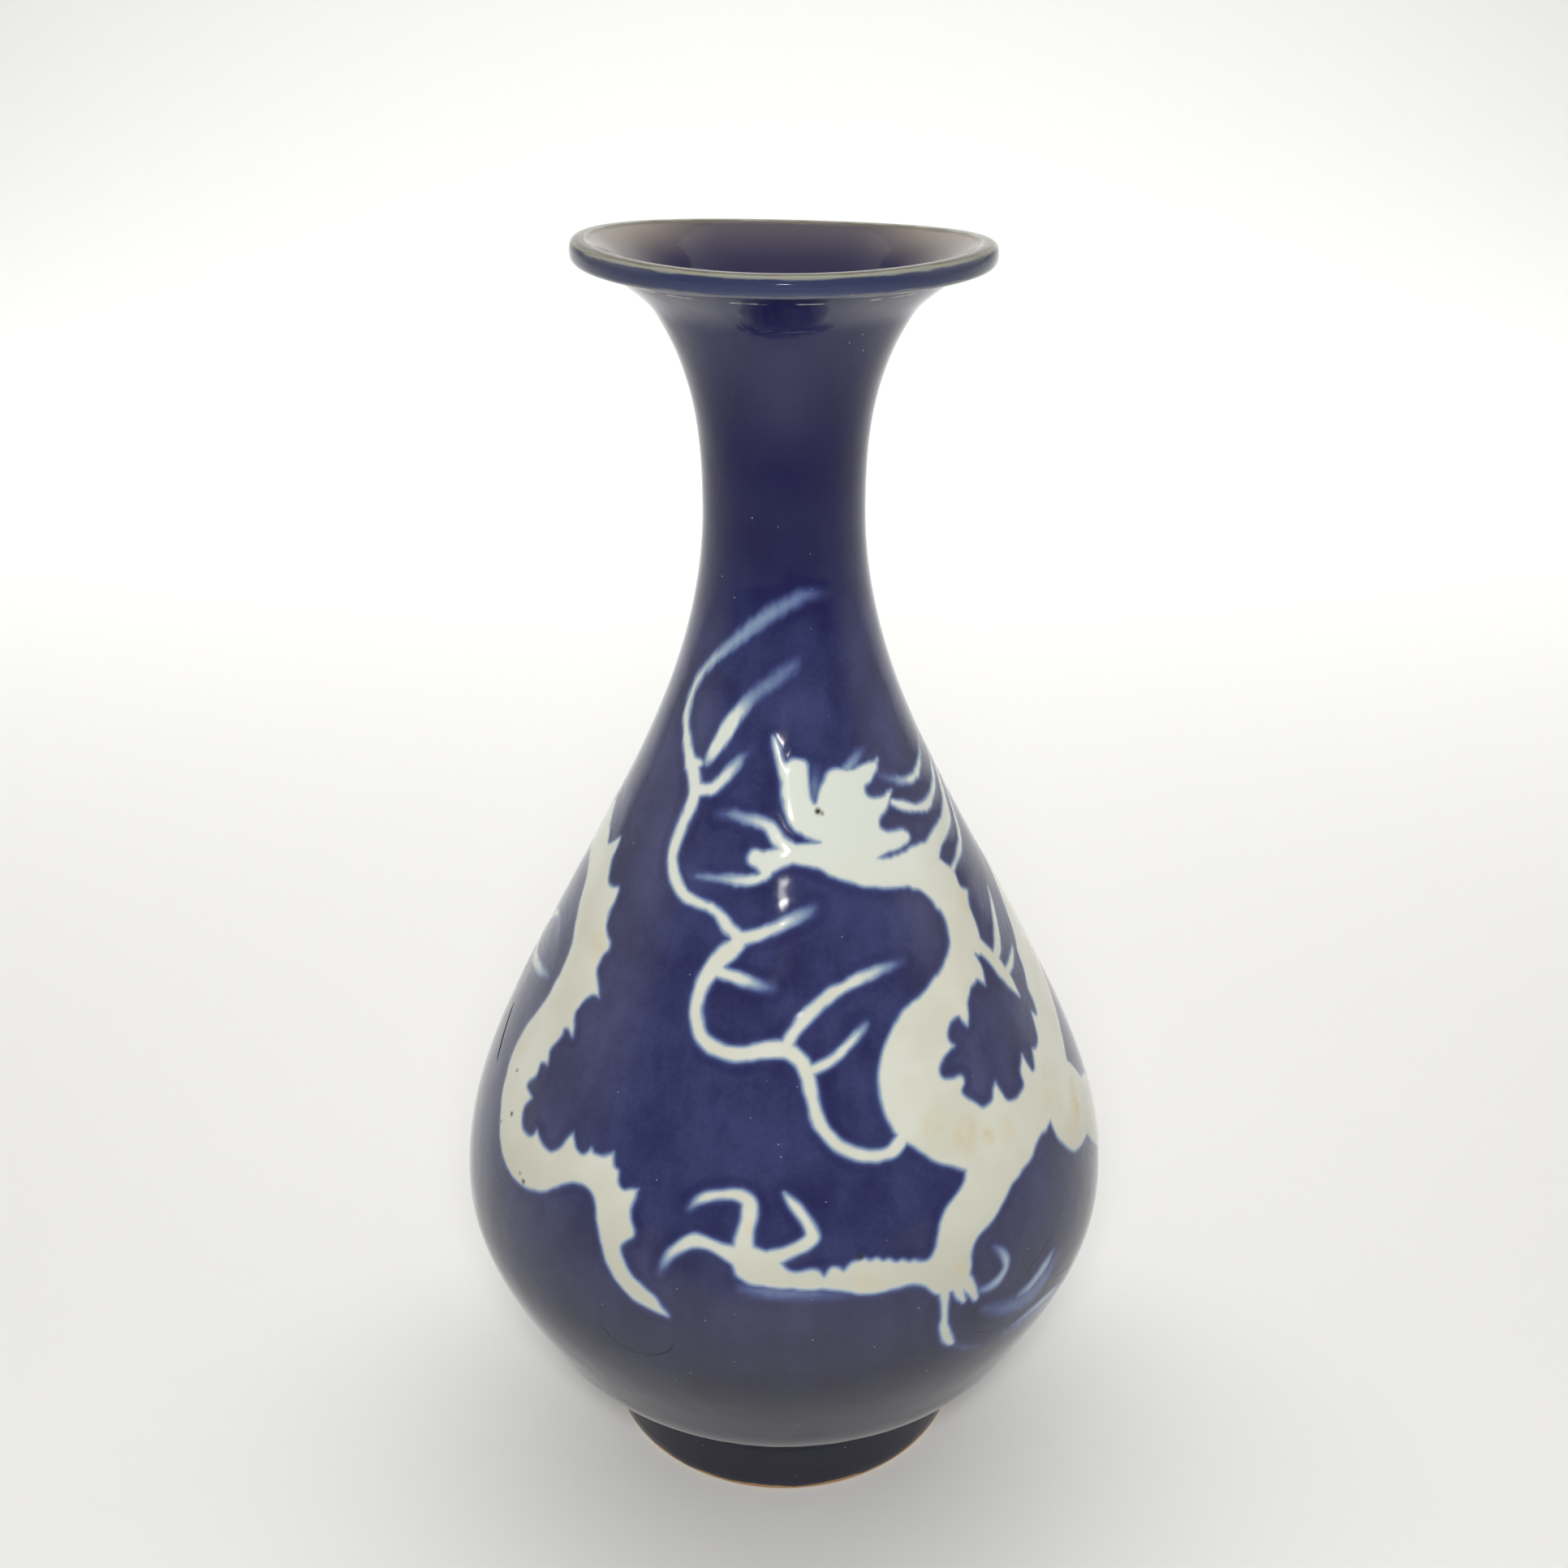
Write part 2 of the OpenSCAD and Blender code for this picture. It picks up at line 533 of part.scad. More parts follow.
module knee_flames() {
    color(white) {
        stroke([[32.6, 84.4, 0.5], [34.8, 83, 0.8], [37.4, 83, 0.9], [38.8, 85.4, 0.9],
            [38.2, 88.4, 0.8], [36.4, 91, 0.3]]);
        stroke([[31.4, 80.4, 0.3], [36, 77.6, 0.9], [41.4, 76.4, 1.1], [47, 78.4, 1],
            [51.6, 80.6, 0.3]]);
        stroke([[40.4, 64.6, 0.3], [44, 67.4, 0.9], [49, 69, 1], [53, 67.6, 0.8],
            [57, 65, 0.3]]);
    }
}

foot_ring();
foot_luting_slip();
lower_body();
belly_luting_slip();
upper_body();
neck_luting_slip();
neck_and_mouth();
dragon_head();
dragon_jaw();
dragon_brow_tufts();
dragon_whiskers();
dragon_mane();
dragon_neck();
dragon_chest();
dragon_trunk();
dragon_tail();
near_foreleg();
near_fore_claws();
far_foreleg();
far_fore_claws();
near_hind_leg();
near_hind_claws();
far_hind_leg();
far_hind_claws();
fire_ribbon();
fire_ribbon_sprays();
shoulder_flame();
knee_flames();
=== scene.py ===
import math

import bpy
import numpy as np
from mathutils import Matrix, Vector


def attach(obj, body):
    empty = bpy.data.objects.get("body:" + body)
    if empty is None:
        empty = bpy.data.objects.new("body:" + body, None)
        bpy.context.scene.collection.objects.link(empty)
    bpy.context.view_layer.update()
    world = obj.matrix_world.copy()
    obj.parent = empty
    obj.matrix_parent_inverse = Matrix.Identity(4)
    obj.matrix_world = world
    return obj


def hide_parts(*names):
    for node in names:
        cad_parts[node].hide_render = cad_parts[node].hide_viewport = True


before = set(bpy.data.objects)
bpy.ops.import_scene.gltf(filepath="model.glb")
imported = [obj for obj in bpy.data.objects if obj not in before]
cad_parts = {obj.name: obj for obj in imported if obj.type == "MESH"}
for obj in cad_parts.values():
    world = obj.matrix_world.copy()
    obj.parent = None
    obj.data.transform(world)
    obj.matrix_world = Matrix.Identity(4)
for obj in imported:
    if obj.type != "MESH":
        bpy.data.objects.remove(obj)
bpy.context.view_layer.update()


# Foot ring: a porcelain ring, thrown on the wheel and luted under the base.
# Its sides carry the cobalt glaze; the edge it stands on is wiped bare and fires tan.
MM = 0.001
FOOT_PROFILE = [
    [41, 0.8], [41.3, 0.25], [41.9, 0], [45.1, 0], [45.7, 0.25], [46, 0.8], [45.95, 3],
    [45.8, 6], [45.6, 9], [45.45, 12], [45.4, 13.2], [38, 13.2], [38, 9.5], [39, 6.7], [40, 3.8],
]
TURNS = 256
SAME_POINT = 0.002 * MM
THROWN_CREASE = math.radians(50)
GLAZE_ROUGHNESS = 0.08
WAVE_STRENGTH = 0.5
WAVE_HEIGHT = 0.3 * MM


def begin(name):
    bpy.ops.object.select_all(action="DESELECT")
    bpy.ops.mesh.primitive_plane_add(size=MM)
    piece = bpy.context.object
    piece.name = name
    piece.data.name = name
    return piece


def thrown(name, profile, closed):
    """A wall thrown on the wheel: one point drawn along the profile, then spun round the axis."""
    piece = begin(name)
    bpy.ops.object.mode_set(mode="EDIT")
    bpy.ops.mesh.merge(type="CENTER")
    path = [(r * MM, 0, z * MM) for r, z in profile]
    if closed:
        path.append(path[0])
    bpy.ops.transform.translate(value=path[0])
    for start, end in zip(path, path[1:]):
        step = [b - a for a, b in zip(start, end)]
        bpy.ops.mesh.extrude_region_move(TRANSFORM_OT_translate={"value": step})
    bpy.ops.mesh.select_all(action="SELECT")
    bpy.ops.mesh.spin(steps=TURNS, angle=2 * math.pi, center=(0, 0, 0), axis=(0, 0, 1))
    bpy.ops.mesh.select_all(action="SELECT")
    bpy.ops.mesh.remove_doubles(threshold=SAME_POINT)
    bpy.ops.mesh.normals_make_consistent(inside=False)
    bpy.ops.object.mode_set(mode="OBJECT")
    bpy.ops.object.shade_smooth_by_angle(angle=THROWN_CREASE)
    return piece


class Wire:
    """A shader socket that takes part in sums and products."""

    def __init__(self, tree, socket=None):
        self.tree = tree
        self.socket = socket

    def node(self, kind, settings, sockets, out=0):
        made = self.tree.nodes.new("ShaderNode" + kind)
        for key, value in settings.items():
            if key == "stops":
                ramp = made.color_ramp
                while len(ramp.elements) < len(value):
                    ramp.elements.new(0.5)
                for stop, (place, colour) in zip(ramp.elements, value):
                    stop.position = place
                    stop.color = colour
            else:
                setattr(made, key, value)
        for key, value in sockets.items():
            if isinstance(value, Wire):
                self.tree.links.new(value.socket, made.inputs[key])
            else:
                made.inputs[key].default_value = value
        return Wire(self.tree, made.outputs[out])

    def maths(self, operation, *values):
        return self.node("Math", {"operation": operation}, dict(enumerate(values)))

    def __add__(self, other):
        return self.maths("ADD", self, other)

    def __radd__(self, other):
        return self.maths("ADD", other, self)

    def __sub__(self, other):
        return self.maths("SUBTRACT", self, other)

    def __rsub__(self, other):
        return self.maths("SUBTRACT", other, self)

    def __mul__(self, other):
        return self.maths("MULTIPLY", self, other)

    def __rmul__(self, other):
        return self.maths("MULTIPLY", other, self)

    def __abs__(self):
        return self.maths("ABSOLUTE", self)

    def root(self):
        return self.maths("SQRT", self)

    def eased(self, low, high):
        sockets = {"Value": self, "From Min": low, "From Max": high}
        return self.node("MapRange", {"interpolation_type": "SMOOTHSTEP"}, sockets)

    def axis(self, number):
        return self.node("SeparateXYZ", {}, {0: self}, number)

    def noise(self, scale, detail):
        sockets = {"Vector": self, "Scale": scale, "Detail": detail}
        return self.node("TexNoise", {}, sockets, "Fac")

    def attribute(self, name):
        return self.node("Attribute", {"attribute_name": name}, {}, "Fac")


def paint(red, green, blue):
    """A colour given as it looks, 0 to 255, turned into the linear colour that a shader takes."""
    parts = [c / 255 for c in (red, green, blue)]
    return [c / 12.92 if c < 0.04045 else ((c + 0.055) / 1.055) ** 2.4 for c in parts] + [1]


def blended(factor, below, above):
    settings = {"data_type": "RGBA"}
    return factor.node("Mix", settings, {0: factor, 6: below, 7: above}, 2)


THICK_COBALT = paint(40, 41, 80)
THIN_COBALT = paint(62, 67, 108)
NECK_SHADED_COBALT = paint(14, 12, 60)
THROAT_SHADED_COBALT = paint(2, 0, 58)
LOW_SHADED_COBALT = paint(30, 29, 42)
PINHOLE = paint(196, 200, 204)
BARE_CLAY = paint(186, 146, 96)


def cobalt(start):
    """The cobalt glaze: its colour, with painted shade on the neck, throat and low belly, and the
    faint waves of its surface, from the place alone.
    """
    place = start.node("TexCoord", {}, {}, "Object")
    height = place.axis(2)
    drawn_out = start.node("Mapping", {}, {"Vector": place, "Scale": (1, 1, 0.1)})
    cloud, streak, grain = place.noise(70, 5), drawn_out.noise(150, 2), place.noise(900, 2)
    depth = cloud * 0.55 + streak * 0.3 + grain * 0.15
    colour = blended(depth.eased(0.3, 0.7), THICK_COBALT, THIN_COBALT)
    # Painted shade: the neck, the throat and the low belly are painted a darker, greyer blue,
    # standing in for the darker reflections there.
    neck = height.eased(205 * MM, 245 * MM)
    colour = blended(neck * 0.85, colour, NECK_SHADED_COBALT)
    throat = height.eased(246 * MM, 260 * MM) * (1 - height.eased(270 * MM, 284 * MM))
    colour = blended(throat * 0.7, colour, THROAT_SHADED_COBALT)
    low = 1 - height.eased(50 * MM, 115 * MM)
    colour = blended(low * 0.9, colour, LOW_SHADED_COBALT)
    cell = {"Vector": place, "Scale": 300}
    dot = start.node("TexVoronoi", {}, cell, "Distance")
    pick = start.node("TexVoronoi", {}, cell, "Color")
    chance = start.node("SeparateColor", {}, {0: pick}, 0)
    hole = (1 - dot.eased(0.02, 0.055)) * chance.eased(0.62, 0.64)
    colour = blended(hole * 0.7, colour, PINHOLE)
    wave = place.noise(110, 1)
    return place, colour, wave + hole * -0.2


def finished(name, build):
    """A glazed finish: build takes the first wire and gives colour, roughness and waves."""
    material = bpy.data.materials.new(name)
    material.use_nodes = True
    tree = material.node_tree
    shader = tree.nodes["Principled BSDF"]
    start = Wire(tree)
    colour, rough, wave = build(start)
    sockets = {"Height": wave, "Strength": WAVE_STRENGTH, "Distance": WAVE_HEIGHT}
    bump = start.node("Bump", {}, sockets)
    for key, value in (("Base Color", colour), ("Roughness", rough), ("Normal", bump)):
        if isinstance(value, Wire):
            tree.links.new(value.socket, shader.inputs[key])
        else:
            shader.inputs[key].default_value = value
    return material


def foot_finish(start):
    place, colour, wave = cobalt(start)
    ragged = place.noise(120, 3)
    bare = 1 - (place.axis(2) + (ragged - 0.5) * -1.6 * MM).eased(0.9 * MM, 1.5 * MM)
    colour = blended(bare, colour, BARE_CLAY)
    return colour, bare * 0.45 + GLAZE_ROUGHNESS, wave


def keep(piece, finish, slot, *nodes):
    piece.data.materials.clear()
    piece.data.materials.append(finish)
    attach(piece, "root")
    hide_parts(*nodes)


foot = thrown("glazed_foot_ring", FOOT_PROFILE, True)
keep(foot, finished("foot_glaze", foot_finish), "foot", "foot_ring")


# Wall: the thrown sections of the vase with their luted joints, smoothed over as one surface
# before glazing. Cobalt glaze covers it inside and out, and runs thin and pale on the lip.
WALL_HEIGHTS = [14, 40, 73.6, 138, 200, 245, 286, 295.44]
WALL_RADII = [47, 69.01, 80.9, 58.01, 27.3, 18, 27.5, 38.8]
WALL_SLOPES = [0.85, 0.48, 0, -0.508, -0.393, 0, 0.65, 1.15]
CLAY_HEIGHTS = [14, 73.6, 245, 295.44]
CLAY_THICKNESS = [6.5, 4.8, 3.6, 2.8]
ROOT = 14
BRIM = 295.44
FLOOR = 21
FLOOR_CORNER = 8
UNDERSIDE = [[0, 9.5], [37.2, 9.5], [37.2, 13.2], [45.5, 13.2], [46.2, 13.4]]
LIP_MIDDLE = [42.04, 297.6]
LIP_HALF = 2.4
LIP_SQUARE = 0.75
LIP_LINES = [
    (43.75, 299.5, 0.5, 0.45, 0), (41.1, 299.9, 0.35, 0.6, 0), (43.9, 295.7, 0.5, 0.2, 0),
    (36.15, 293.3, 0.3, 0.9, 1),
]
FINE_ABOVE, FINE_BELOW = 270, 32
WARP_FROM, WARP_TO = 250, 300
CRACK_ENDS = [(-84, 120.5), (-78, 111)]
HAIRLINE_MIDDLE = (-33.1, -73.9, 77.5)
HAIRLINE_REACH = 9.6
HAIRLINE_SQUASH = 1.38
HOLLOW_VEIL = paint(84, 79, 100)
MOUTH_REFLECTION_BEIGE = paint(172, 160, 148)
LIP_CROWN_REFLECTION = paint(122, 116, 104)
LIP_FACE = paint(76, 86, 108)
LIP_PALE = paint(186, 190, 170)
HAIRLINE_DARK = paint(8, 8, 18)
CRACK_DARK = paint(12, 12, 14)


def wall_radius(z):
    """Outer radius of the wall at a height, a smooth run through the stations above."""
    z = np.asarray(z, float)
    i = np.clip(np.searchsorted(WALL_HEIGHTS, z) - 1, 0, len(WALL_HEIGHTS) - 2)
    low, high = np.take(WALL_HEIGHTS, i), np.take(WALL_HEIGHTS, i + 1)
    h = high - low
    t = (z - low) / h
    a, b = np.take(WALL_RADII, i), np.take(WALL_RADII, i + 1)
    p, q = np.take(WALL_SLOPES, i), np.take(WALL_SLOPES, i + 1)
    ends = a * (2 * t**3 - 3 * t**2 + 1) + b * (3 * t**2 - 2 * t**3)
    return ends + h * (p * (t**3 - 2 * t**2 + t) + q * (t**3 - t**2))


def wall_lean(z):
    """How fast the radius grows with height."""
    step = 0.05
    return (wall_radius(z + step) - wall_radius(z - step)) / (2 * step)


def hollow_radius(z):
    clay = np.interp(z, CLAY_HEIGHTS, CLAY_THICKNESS)
    h = np.minimum(z - FLOOR, FLOOR_CORNER)
    corner = FLOOR_CORNER - np.sqrt(2 * FLOOR_CORNER * h - h * h)
    return wall_radius(z) - clay * np.sqrt(1 + wall_lean(z) ** 2) - corner


def wall_profile():
    """Half of the wall, cut through: under the base, up outside, over the lip and down inside."""
    rise = np.r_[np.arange(ROOT, FINE_ABOVE, 2), np.arange(FINE_ABOVE, BRIM, 1), BRIM]
    fall = np.r_[np.arange(BRIM, FINE_ABOVE, -1), np.arange(FINE_ABOVE, FINE_BELOW, -3),
                 np.arange(FINE_BELOW, FLOOR, -1)]
    turn = np.radians(np.arange(-70, 111, 6))
    outside = [[wall_radius(z), z] for z in rise]
    round_lip = np.stack([np.cos(turn), np.sin(turn)], 1)
    squared = np.sign(round_lip) * np.abs(round_lip) ** LIP_SQUARE
    lip = (LIP_MIDDLE + LIP_HALF * squared).tolist()
    inside = [[hollow_radius(z), z] for z in fall]
    floor = [[hollow_radius(FLOOR + 0.1), FLOOR], [0, FLOOR]]
    return UNDERSIDE + outside + lip + inside + floor


def crack_line():
    """Where the crack starts on the wall and the way across it, from its ends' angle and height."""
    spots = []
    for angle, height in CRACK_ENDS:
        turn, radius = math.radians(angle), wall_radius(height)
        spots.append(Vector((radius * math.sin(turn), -radius * math.cos(turn), height)) * MM)
    first, last = spots
    lean = wall_lean(CRACK_ENDS[0][1])
    outward = Vector((first.x, first.y, -lean * math.hypot(first.x, first.y)))
    return first, outward.cross(last - first).normalized()


def wall_finish(start):
    place, colour, wave = cobalt(start)
    x, y = place.axis(0), place.axis(1)
    z = start.attribute("thrown_height")
    radius = (x * x + y * y).root()
    patchy = place.noise(160, 3)
    colour = blended(start.attribute("hollow") * 0.3, colour, HOLLOW_VEIL)
    # Painted reflection: the mouth's inner flare is painted beige, most at its left and right, for
    # the room it mirrors.
    inner = (z * 1.155 - 304.6 * MM - radius).eased(0, 1 * MM)
    side = abs(x).eased(14 * MM, 36 * MM)
    mouth_reflection = inner * radius.eased(29 * MM, 41 * MM) * (0.22 + 0.64 * side)
    colour = blended(mouth_reflection, colour, MOUTH_REFLECTION_BEIGE)
    # Painted reflection: the lip's top is painted beige-grey for the room it mirrors.
    crown_reflection = (z + (patchy - 0.5) * 0.8 * MM).eased(299.1 * MM, 299.7 * MM)
    colour = blended(crown_reflection * 0.85, colour, LIP_CROWN_REFLECTION)
    face = radius.eased(43.4 * MM, 44.1 * MM) * z.eased(294.8 * MM, 296.4 * MM) * (1 - crown_reflection)
    colour = blended(face * 0.35, colour, LIP_FACE)
    for r, h, wide, most, broken in LIP_LINES:
        across, up = radius - r * MM, z - h * MM
        away = (across * across + up * up).root() + (patchy - 0.4) * MM
        thin = 1 - away.eased(wide * 0.5 * MM, wide * 1.6 * MM)
        whole = 1 - broken * (1 - patchy.eased(0.46, 0.56))
        colour = blended(thin * whole * most, colour, LIP_PALE)
    across, along, up = [w - c * MM for w, c in zip((x, y, z), HAIRLINE_MIDDLE)]
    up = up * HAIRLINE_SQUASH
    off = abs((across * across + along * along + up * up).root() - HAIRLINE_REACH * MM)
    hairline = (1 - off.eased(0.1 * MM, 0.45 * MM)) * (1 - z.eased(74.5 * MM, 76.5 * MM))
    colour = blended(hairline * 0.95, colour, HAIRLINE_DARK)
    first, way_across = crack_line()
    along = start.node("VectorMath", {"operation": "SUBTRACT"}, {0: place, 1: first})
    sockets = {0: along, 1: way_across}
    aside = start.node("VectorMath", {"operation": "DOT_PRODUCT"}, sockets, "Value")
    off = abs(aside + (patchy - 0.5) * 3 * MM)
    span = z.eased(109 * MM, 111 * MM) * (1 - z.eased(119 * MM, 121 * MM))
    crack = (1 - off.eased(0.3 * MM, 0.8 * MM)) * span * (1 - x.eased(-50 * MM, -40 * MM))
    colour = blended(crack * 0.95, colour, CRACK_DARK)
    return colour, crack * 0.9 + GLAZE_ROUGHNESS, wave


def noted(mesh, label, values):
    mesh.attributes.new(label, "FLOAT", "POINT").data.foreach_set("value", values)


def in_hollow(radius, height):
    return FLOOR * MM <= height < BRIM * MM and radius < (wall_radius(height / MM) - 1) * MM


wall = thrown("glazed_wall", wall_profile(), False)
turned = [vertex.co.copy() for vertex in wall.data.vertices]
noted(wall.data, "thrown_height", [spot.z for spot in turned])
noted(wall.data, "hollow", [float(in_hollow(math.hypot(x, y), z)) for x, y, z in turned])
for vertex in wall.data.vertices:
    x, y, z = vertex.co
    high = max(0.0, (z - WARP_FROM * MM) / ((WARP_TO - WARP_FROM) * MM))
    around = math.atan2(x, -y)
    one_side = 0.4 - 0.55 * math.sin(around)
    warp = one_side - 0.75 * math.cos(2 * around) + 0.2 * math.sin(2 * around)
    vertex.co.z += high**2 * MM * warp
keep(wall, finished("wall_glaze", wall_finish), "cobalt_glaze", "lower_body", "upper_body",
     "neck_and_mouth", "foot_luting_slip", "belly_luting_slip", "neck_luting_slip")


# Dragon's head and jaw: white slip brushed on the raw wall before glazing, thick in the middle and
# thin at its edge, where the blue glaze creeps over it. Angles run from the front to the right.
ANGLE_STEP = 0.4
HEIGHT_STEP = 0.45
FIRST_ANGLE = -90
LOWEST, HIGHEST = 56, 236
SKIRT = 3.2
HALO = 2.2
THICK = 3.2
HALO_WHITE, CORE_WHITE, THICK_WHITE = 0.22, 0.66, 0.12
LAY_MARGIN = 4
EDGE_PARTS = 4
STROKE_PARTS = 6
OUTSIDE = -99.0
columns = round(360 / ANGLE_STEP)
rows = round((HIGHEST - LOWEST) / HEIGHT_STEP) + 1
row_height = LOWEST + HEIGHT_STEP * np.arange(rows)
row_wide = wall_radius(row_height) * math.pi / 180
row_tall = np.sqrt(1 + wall_lean(row_height) ** 2)
lay_depth = {}
lay_tone = {}


def smooth_run(points, parts):
    """A smooth run through given points, held at both ends."""
    p = np.asarray(points, float)
    q = np.vstack([2 * p[0] - p[1], p, 2 * p[-1] - p[-2]])
    u = (np.arange(parts) / parts)[:, None]
    out = []
    for a, b, c, d in zip(q, q[1:], q[2:], q[3:]):
        square, cube = 2 * a - 5 * b + 4 * c - d, 3 * b - a - 3 * c + d
        out.append(0.5 * (2 * b + (c - a) * u + square * u**2 + cube * u**3))
    return np.vstack(out + [p[-1:]])


def outline(points):
    """A closed edge through points of angle and height; a third value marks a sharp tip."""
    tips = [i for i, p in enumerate(points) if len(p) > 2] or [0]
    turned_round = points[tips[0]:] + points[:tips[0] + 1]
    runs, run = [], []
    for i, p in enumerate(turned_round):
        run.append(p[:2])
        if i and (len(p) > 2 or i == len(turned_round) - 1):
            smooth = len(run) > 2
            runs.append(smooth_run(run, EDGE_PARTS)[:-1] if smooth else np.array(run[:-1], float))
            run = [p[:2]]
    return {"edge": np.vstack(runs)}


def stroke(points):
    """A brush stroke through points of angle, height, half width and, if it fades, whiteness."""
    return {"line": smooth_run([list(p) + [1] * (4 - len(p)) for p in points], STROKE_PARTS)}


def nearest(px, pz, a, b, wide, tall):
    """Distance along the wall from points to one straight bit of edge, and where along it."""
    ax, az = (a[0] - px) * wide, (a[1] - pz) * tall
    dx, dz = (b[0] - a[0]) * wide, (b[1] - a[1]) * tall
    t = np.clip(-(ax * dx + az * dz) / np.maximum(dx * dx + dz * dz, 1e-9), 0, 1)
    return np.hypot(ax + t * dx, az + t * dz), t


def eased(x, low, high):
    t = np.clip((x - low) / (high - low), 0, 1)
    return t * t * (3 - 2 * t)


def wander(step, seed):
    """A slow random drift over the wall, from -1 to 1, the same each run."""
    draw = np.random.RandomState(seed).uniform(-1, 1, (rows // step + 2, columns // step))
    i, j = np.arange(rows) / step, np.arange(columns) / step
    u, v = eased(i % 1, 0, 1)[:, None], eased(j % 1, 0, 1)[None]
    a, b = i.astype(int), j.astype(int)
    c = (b + 1) % draw.shape[1]
    low = draw[a][:, b] * (1 - v) + draw[a][:, c] * v
    high = draw[a + 1][:, b] * (1 - v) + draw[a + 1][:, c] * v
    return low * (1 - u) + high * u


edge_wander = 0.26 * wander(9, 3) + 0.16 * wander(4, 5)


def depth_in_edge(run, px, pz, wide, tall):
    far = np.full(px.shape, -OUTSIDE)
    inside = np.zeros(px.shape, bool)
    for a, b in zip(run, np.roll(run, -1, 0)):
        far = np.minimum(far, nearest(px, pz, a, b, wide, tall)[0])
        if a[1] != b[1]:
            crossing = (b[0] - a[0]) * (pz - a[1]) / (b[1] - a[1]) + a[0]
            inside ^= ((a[1] > pz) != (b[1] > pz)) & (px < crossing)
    return np.where(inside, far, -far), 1


def depth_in_line(run, px, pz, wide, tall):
    depth, white = np.full(px.shape, OUTSIDE), np.zeros(px.shape)
    for a, b in zip(run, run[1:]):
        far, t = nearest(px, pz, a, b, wide, tall)
        here = a[2] + (b[2] - a[2]) * t - far
        white = np.where(here > depth, a[3] + (b[3] - a[3]) * t, white)
        depth = np.maximum(depth, here)
    return depth, white


def lay(name, *shapes):
    """Works out how deep in its shapes each point of the wall lies, and how white the slip is."""
    depth = np.full((rows, columns), OUTSIDE)
    tone = np.zeros((rows, columns))
    for shape in shapes:
        is_line = "line" in shape
        run = shape["line"] if is_line else shape["edge"]
        room = LAY_MARGIN + (run[:, 2].max() if is_line else 0)
        r0 = max(int((run[:, 1].min() - room - LOWEST) / HEIGHT_STEP), 0)
        r1 = min(int((run[:, 1].max() + room - LOWEST) / HEIGHT_STEP) + 1, rows)
        side = room / row_wide[r0:r1].min()
        c0 = int((run[:, 0].min() - side - FIRST_ANGLE) // ANGLE_STEP)
        c1 = int((run[:, 0].max() + side - FIRST_ANGLE) // ANGLE_STEP) + 1
        angle = FIRST_ANGLE + ANGLE_STEP * np.arange(c0, c1)
        px, pz = np.meshgrid(angle, row_height[r0:r1])
        measure = depth_in_line if is_line else depth_in_edge
        here, white = measure(run, px, pz, row_wide[r0:r1, None], row_tall[r0:r1, None])
        window = np.ix_(np.arange(r0, r1), np.arange(c0, c1) % columns)
        here = here + edge_wander[window]
        soft = 1 + 1.2 * (1 - white)
        halo = eased(here, -HALO, 0.3)
        core = eased(here, -0.8 * soft, 0.9 * soft)
        thick = eased(here, 0, THICK)
        shade = white * (HALO_WHITE * halo + CORE_WHITE * core + THICK_WHITE * thick)
        depth[window] = np.maximum(depth[window], here)
        tone[window] = np.maximum(tone[window], shade)
    lay_depth[name] = depth
    lay_tone[name] = tone


lay("dragon_head", outline([
    (-5.4, 200.2, 1), (-3.6, 199.6), (-1.8, 197.4), (0.4, 195), (4, 195.7), (8.6, 195.3),
    (10.1, 193.6), (10.2, 190.4), (10.7, 188), (11.6, 186.8), (12.5, 187.6), (13.8, 189.2),
    (15.4, 190.6), (17.6, 192.3), (21, 193), (25, 192.7), (30, 192.2), (34, 192.6), (38, 192.7),
    (42, 192.8, 1), (41.6, 191), (39, 189.7), (36, 188.9), (33.4, 188.2), (33.2, 186.7),
    (35, 185.6), (38, 185), (41, 185.3), (45, 185.9, 1), (43.4, 184.2), (40, 182.6), (37, 181.5),
    (35.4, 179.8), (37.4, 178.2), (41, 177.8), (44.4, 177.6), (46.2, 176.6), (46.2, 175.2),
    (44.6, 174.4), (40, 174.1), (36, 174.1), (31.6, 173.9, 1), (26, 171), (18, 173),
    (12.4, 178.8, 1), (8, 180), (4, 181.3), (1.5, 183), (0, 185.4), (-1, 188), (-1.3, 191),
    (-2, 193.6), (-3.4, 195.8), (-4.8, 198),
]))
lay("dragon_jaw", outline([
    (-11.7, 176.2), (-10, 177.5), (-7, 177.2), (-4, 177.6), (-1.5, 178.3), (2, 178.9), (6, 178.7),
    (10, 178.7), (12.4, 178.8, 1), (15, 181), (22, 182), (29, 179.5), (31.3, 173.7, 1), (36, 173.4),
    (42, 173.3), (46, 173.6), (50, 172.6), (54, 172), (56, 168), (53, 161), (48.4, 159.6),
    (46.6, 162.4), (44, 164.6), (40, 166.4), (35, 167.3), (30, 167.9), (25, 168.9), (20, 170.5),
    (15, 172.1), (10, 173.8), (6, 174.6), (2, 174.9), (-1.5, 174.2), (-4, 173), (-6, 171.4),
    (-8, 172.9), (-9.4, 174.2), (-11.3, 174.9),
]))


# Brow tufts, whiskers and mane: loose locks of the same slip, drawn with the tip of the brush
# and thinning to a blue veil at their ends.
lay(
    "dragon_brow_tufts",
    stroke([(11.5, 187.6, 1, 0.42), (12.1, 190.4, 1.6, 0.36), (12.8, 193.4, 1.6, 0.2)]),
    stroke([(27, 192.6, 1.2, 0.7), (31, 194, 1.3, 0.5), (35, 195.2, 1, 0.35), (39, 196, 0.4, 0.2)]),
    stroke([(33, 190.4, 1.4), (36, 190.8, 1.2), (39.5, 191.5, 0.9), (42.4, 192.6, 0.3)]),
    stroke([(35.6, 184.4, 1.3), (39.5, 184.2, 1.1), (42.5, 184.9, 0.8), (45.4, 185.7, 0.3)]),
    stroke([(33.4, 177, 2), (38, 176, 1.8), (42, 175.9, 1.6), (44.8, 175.9, 1.4)]),
)
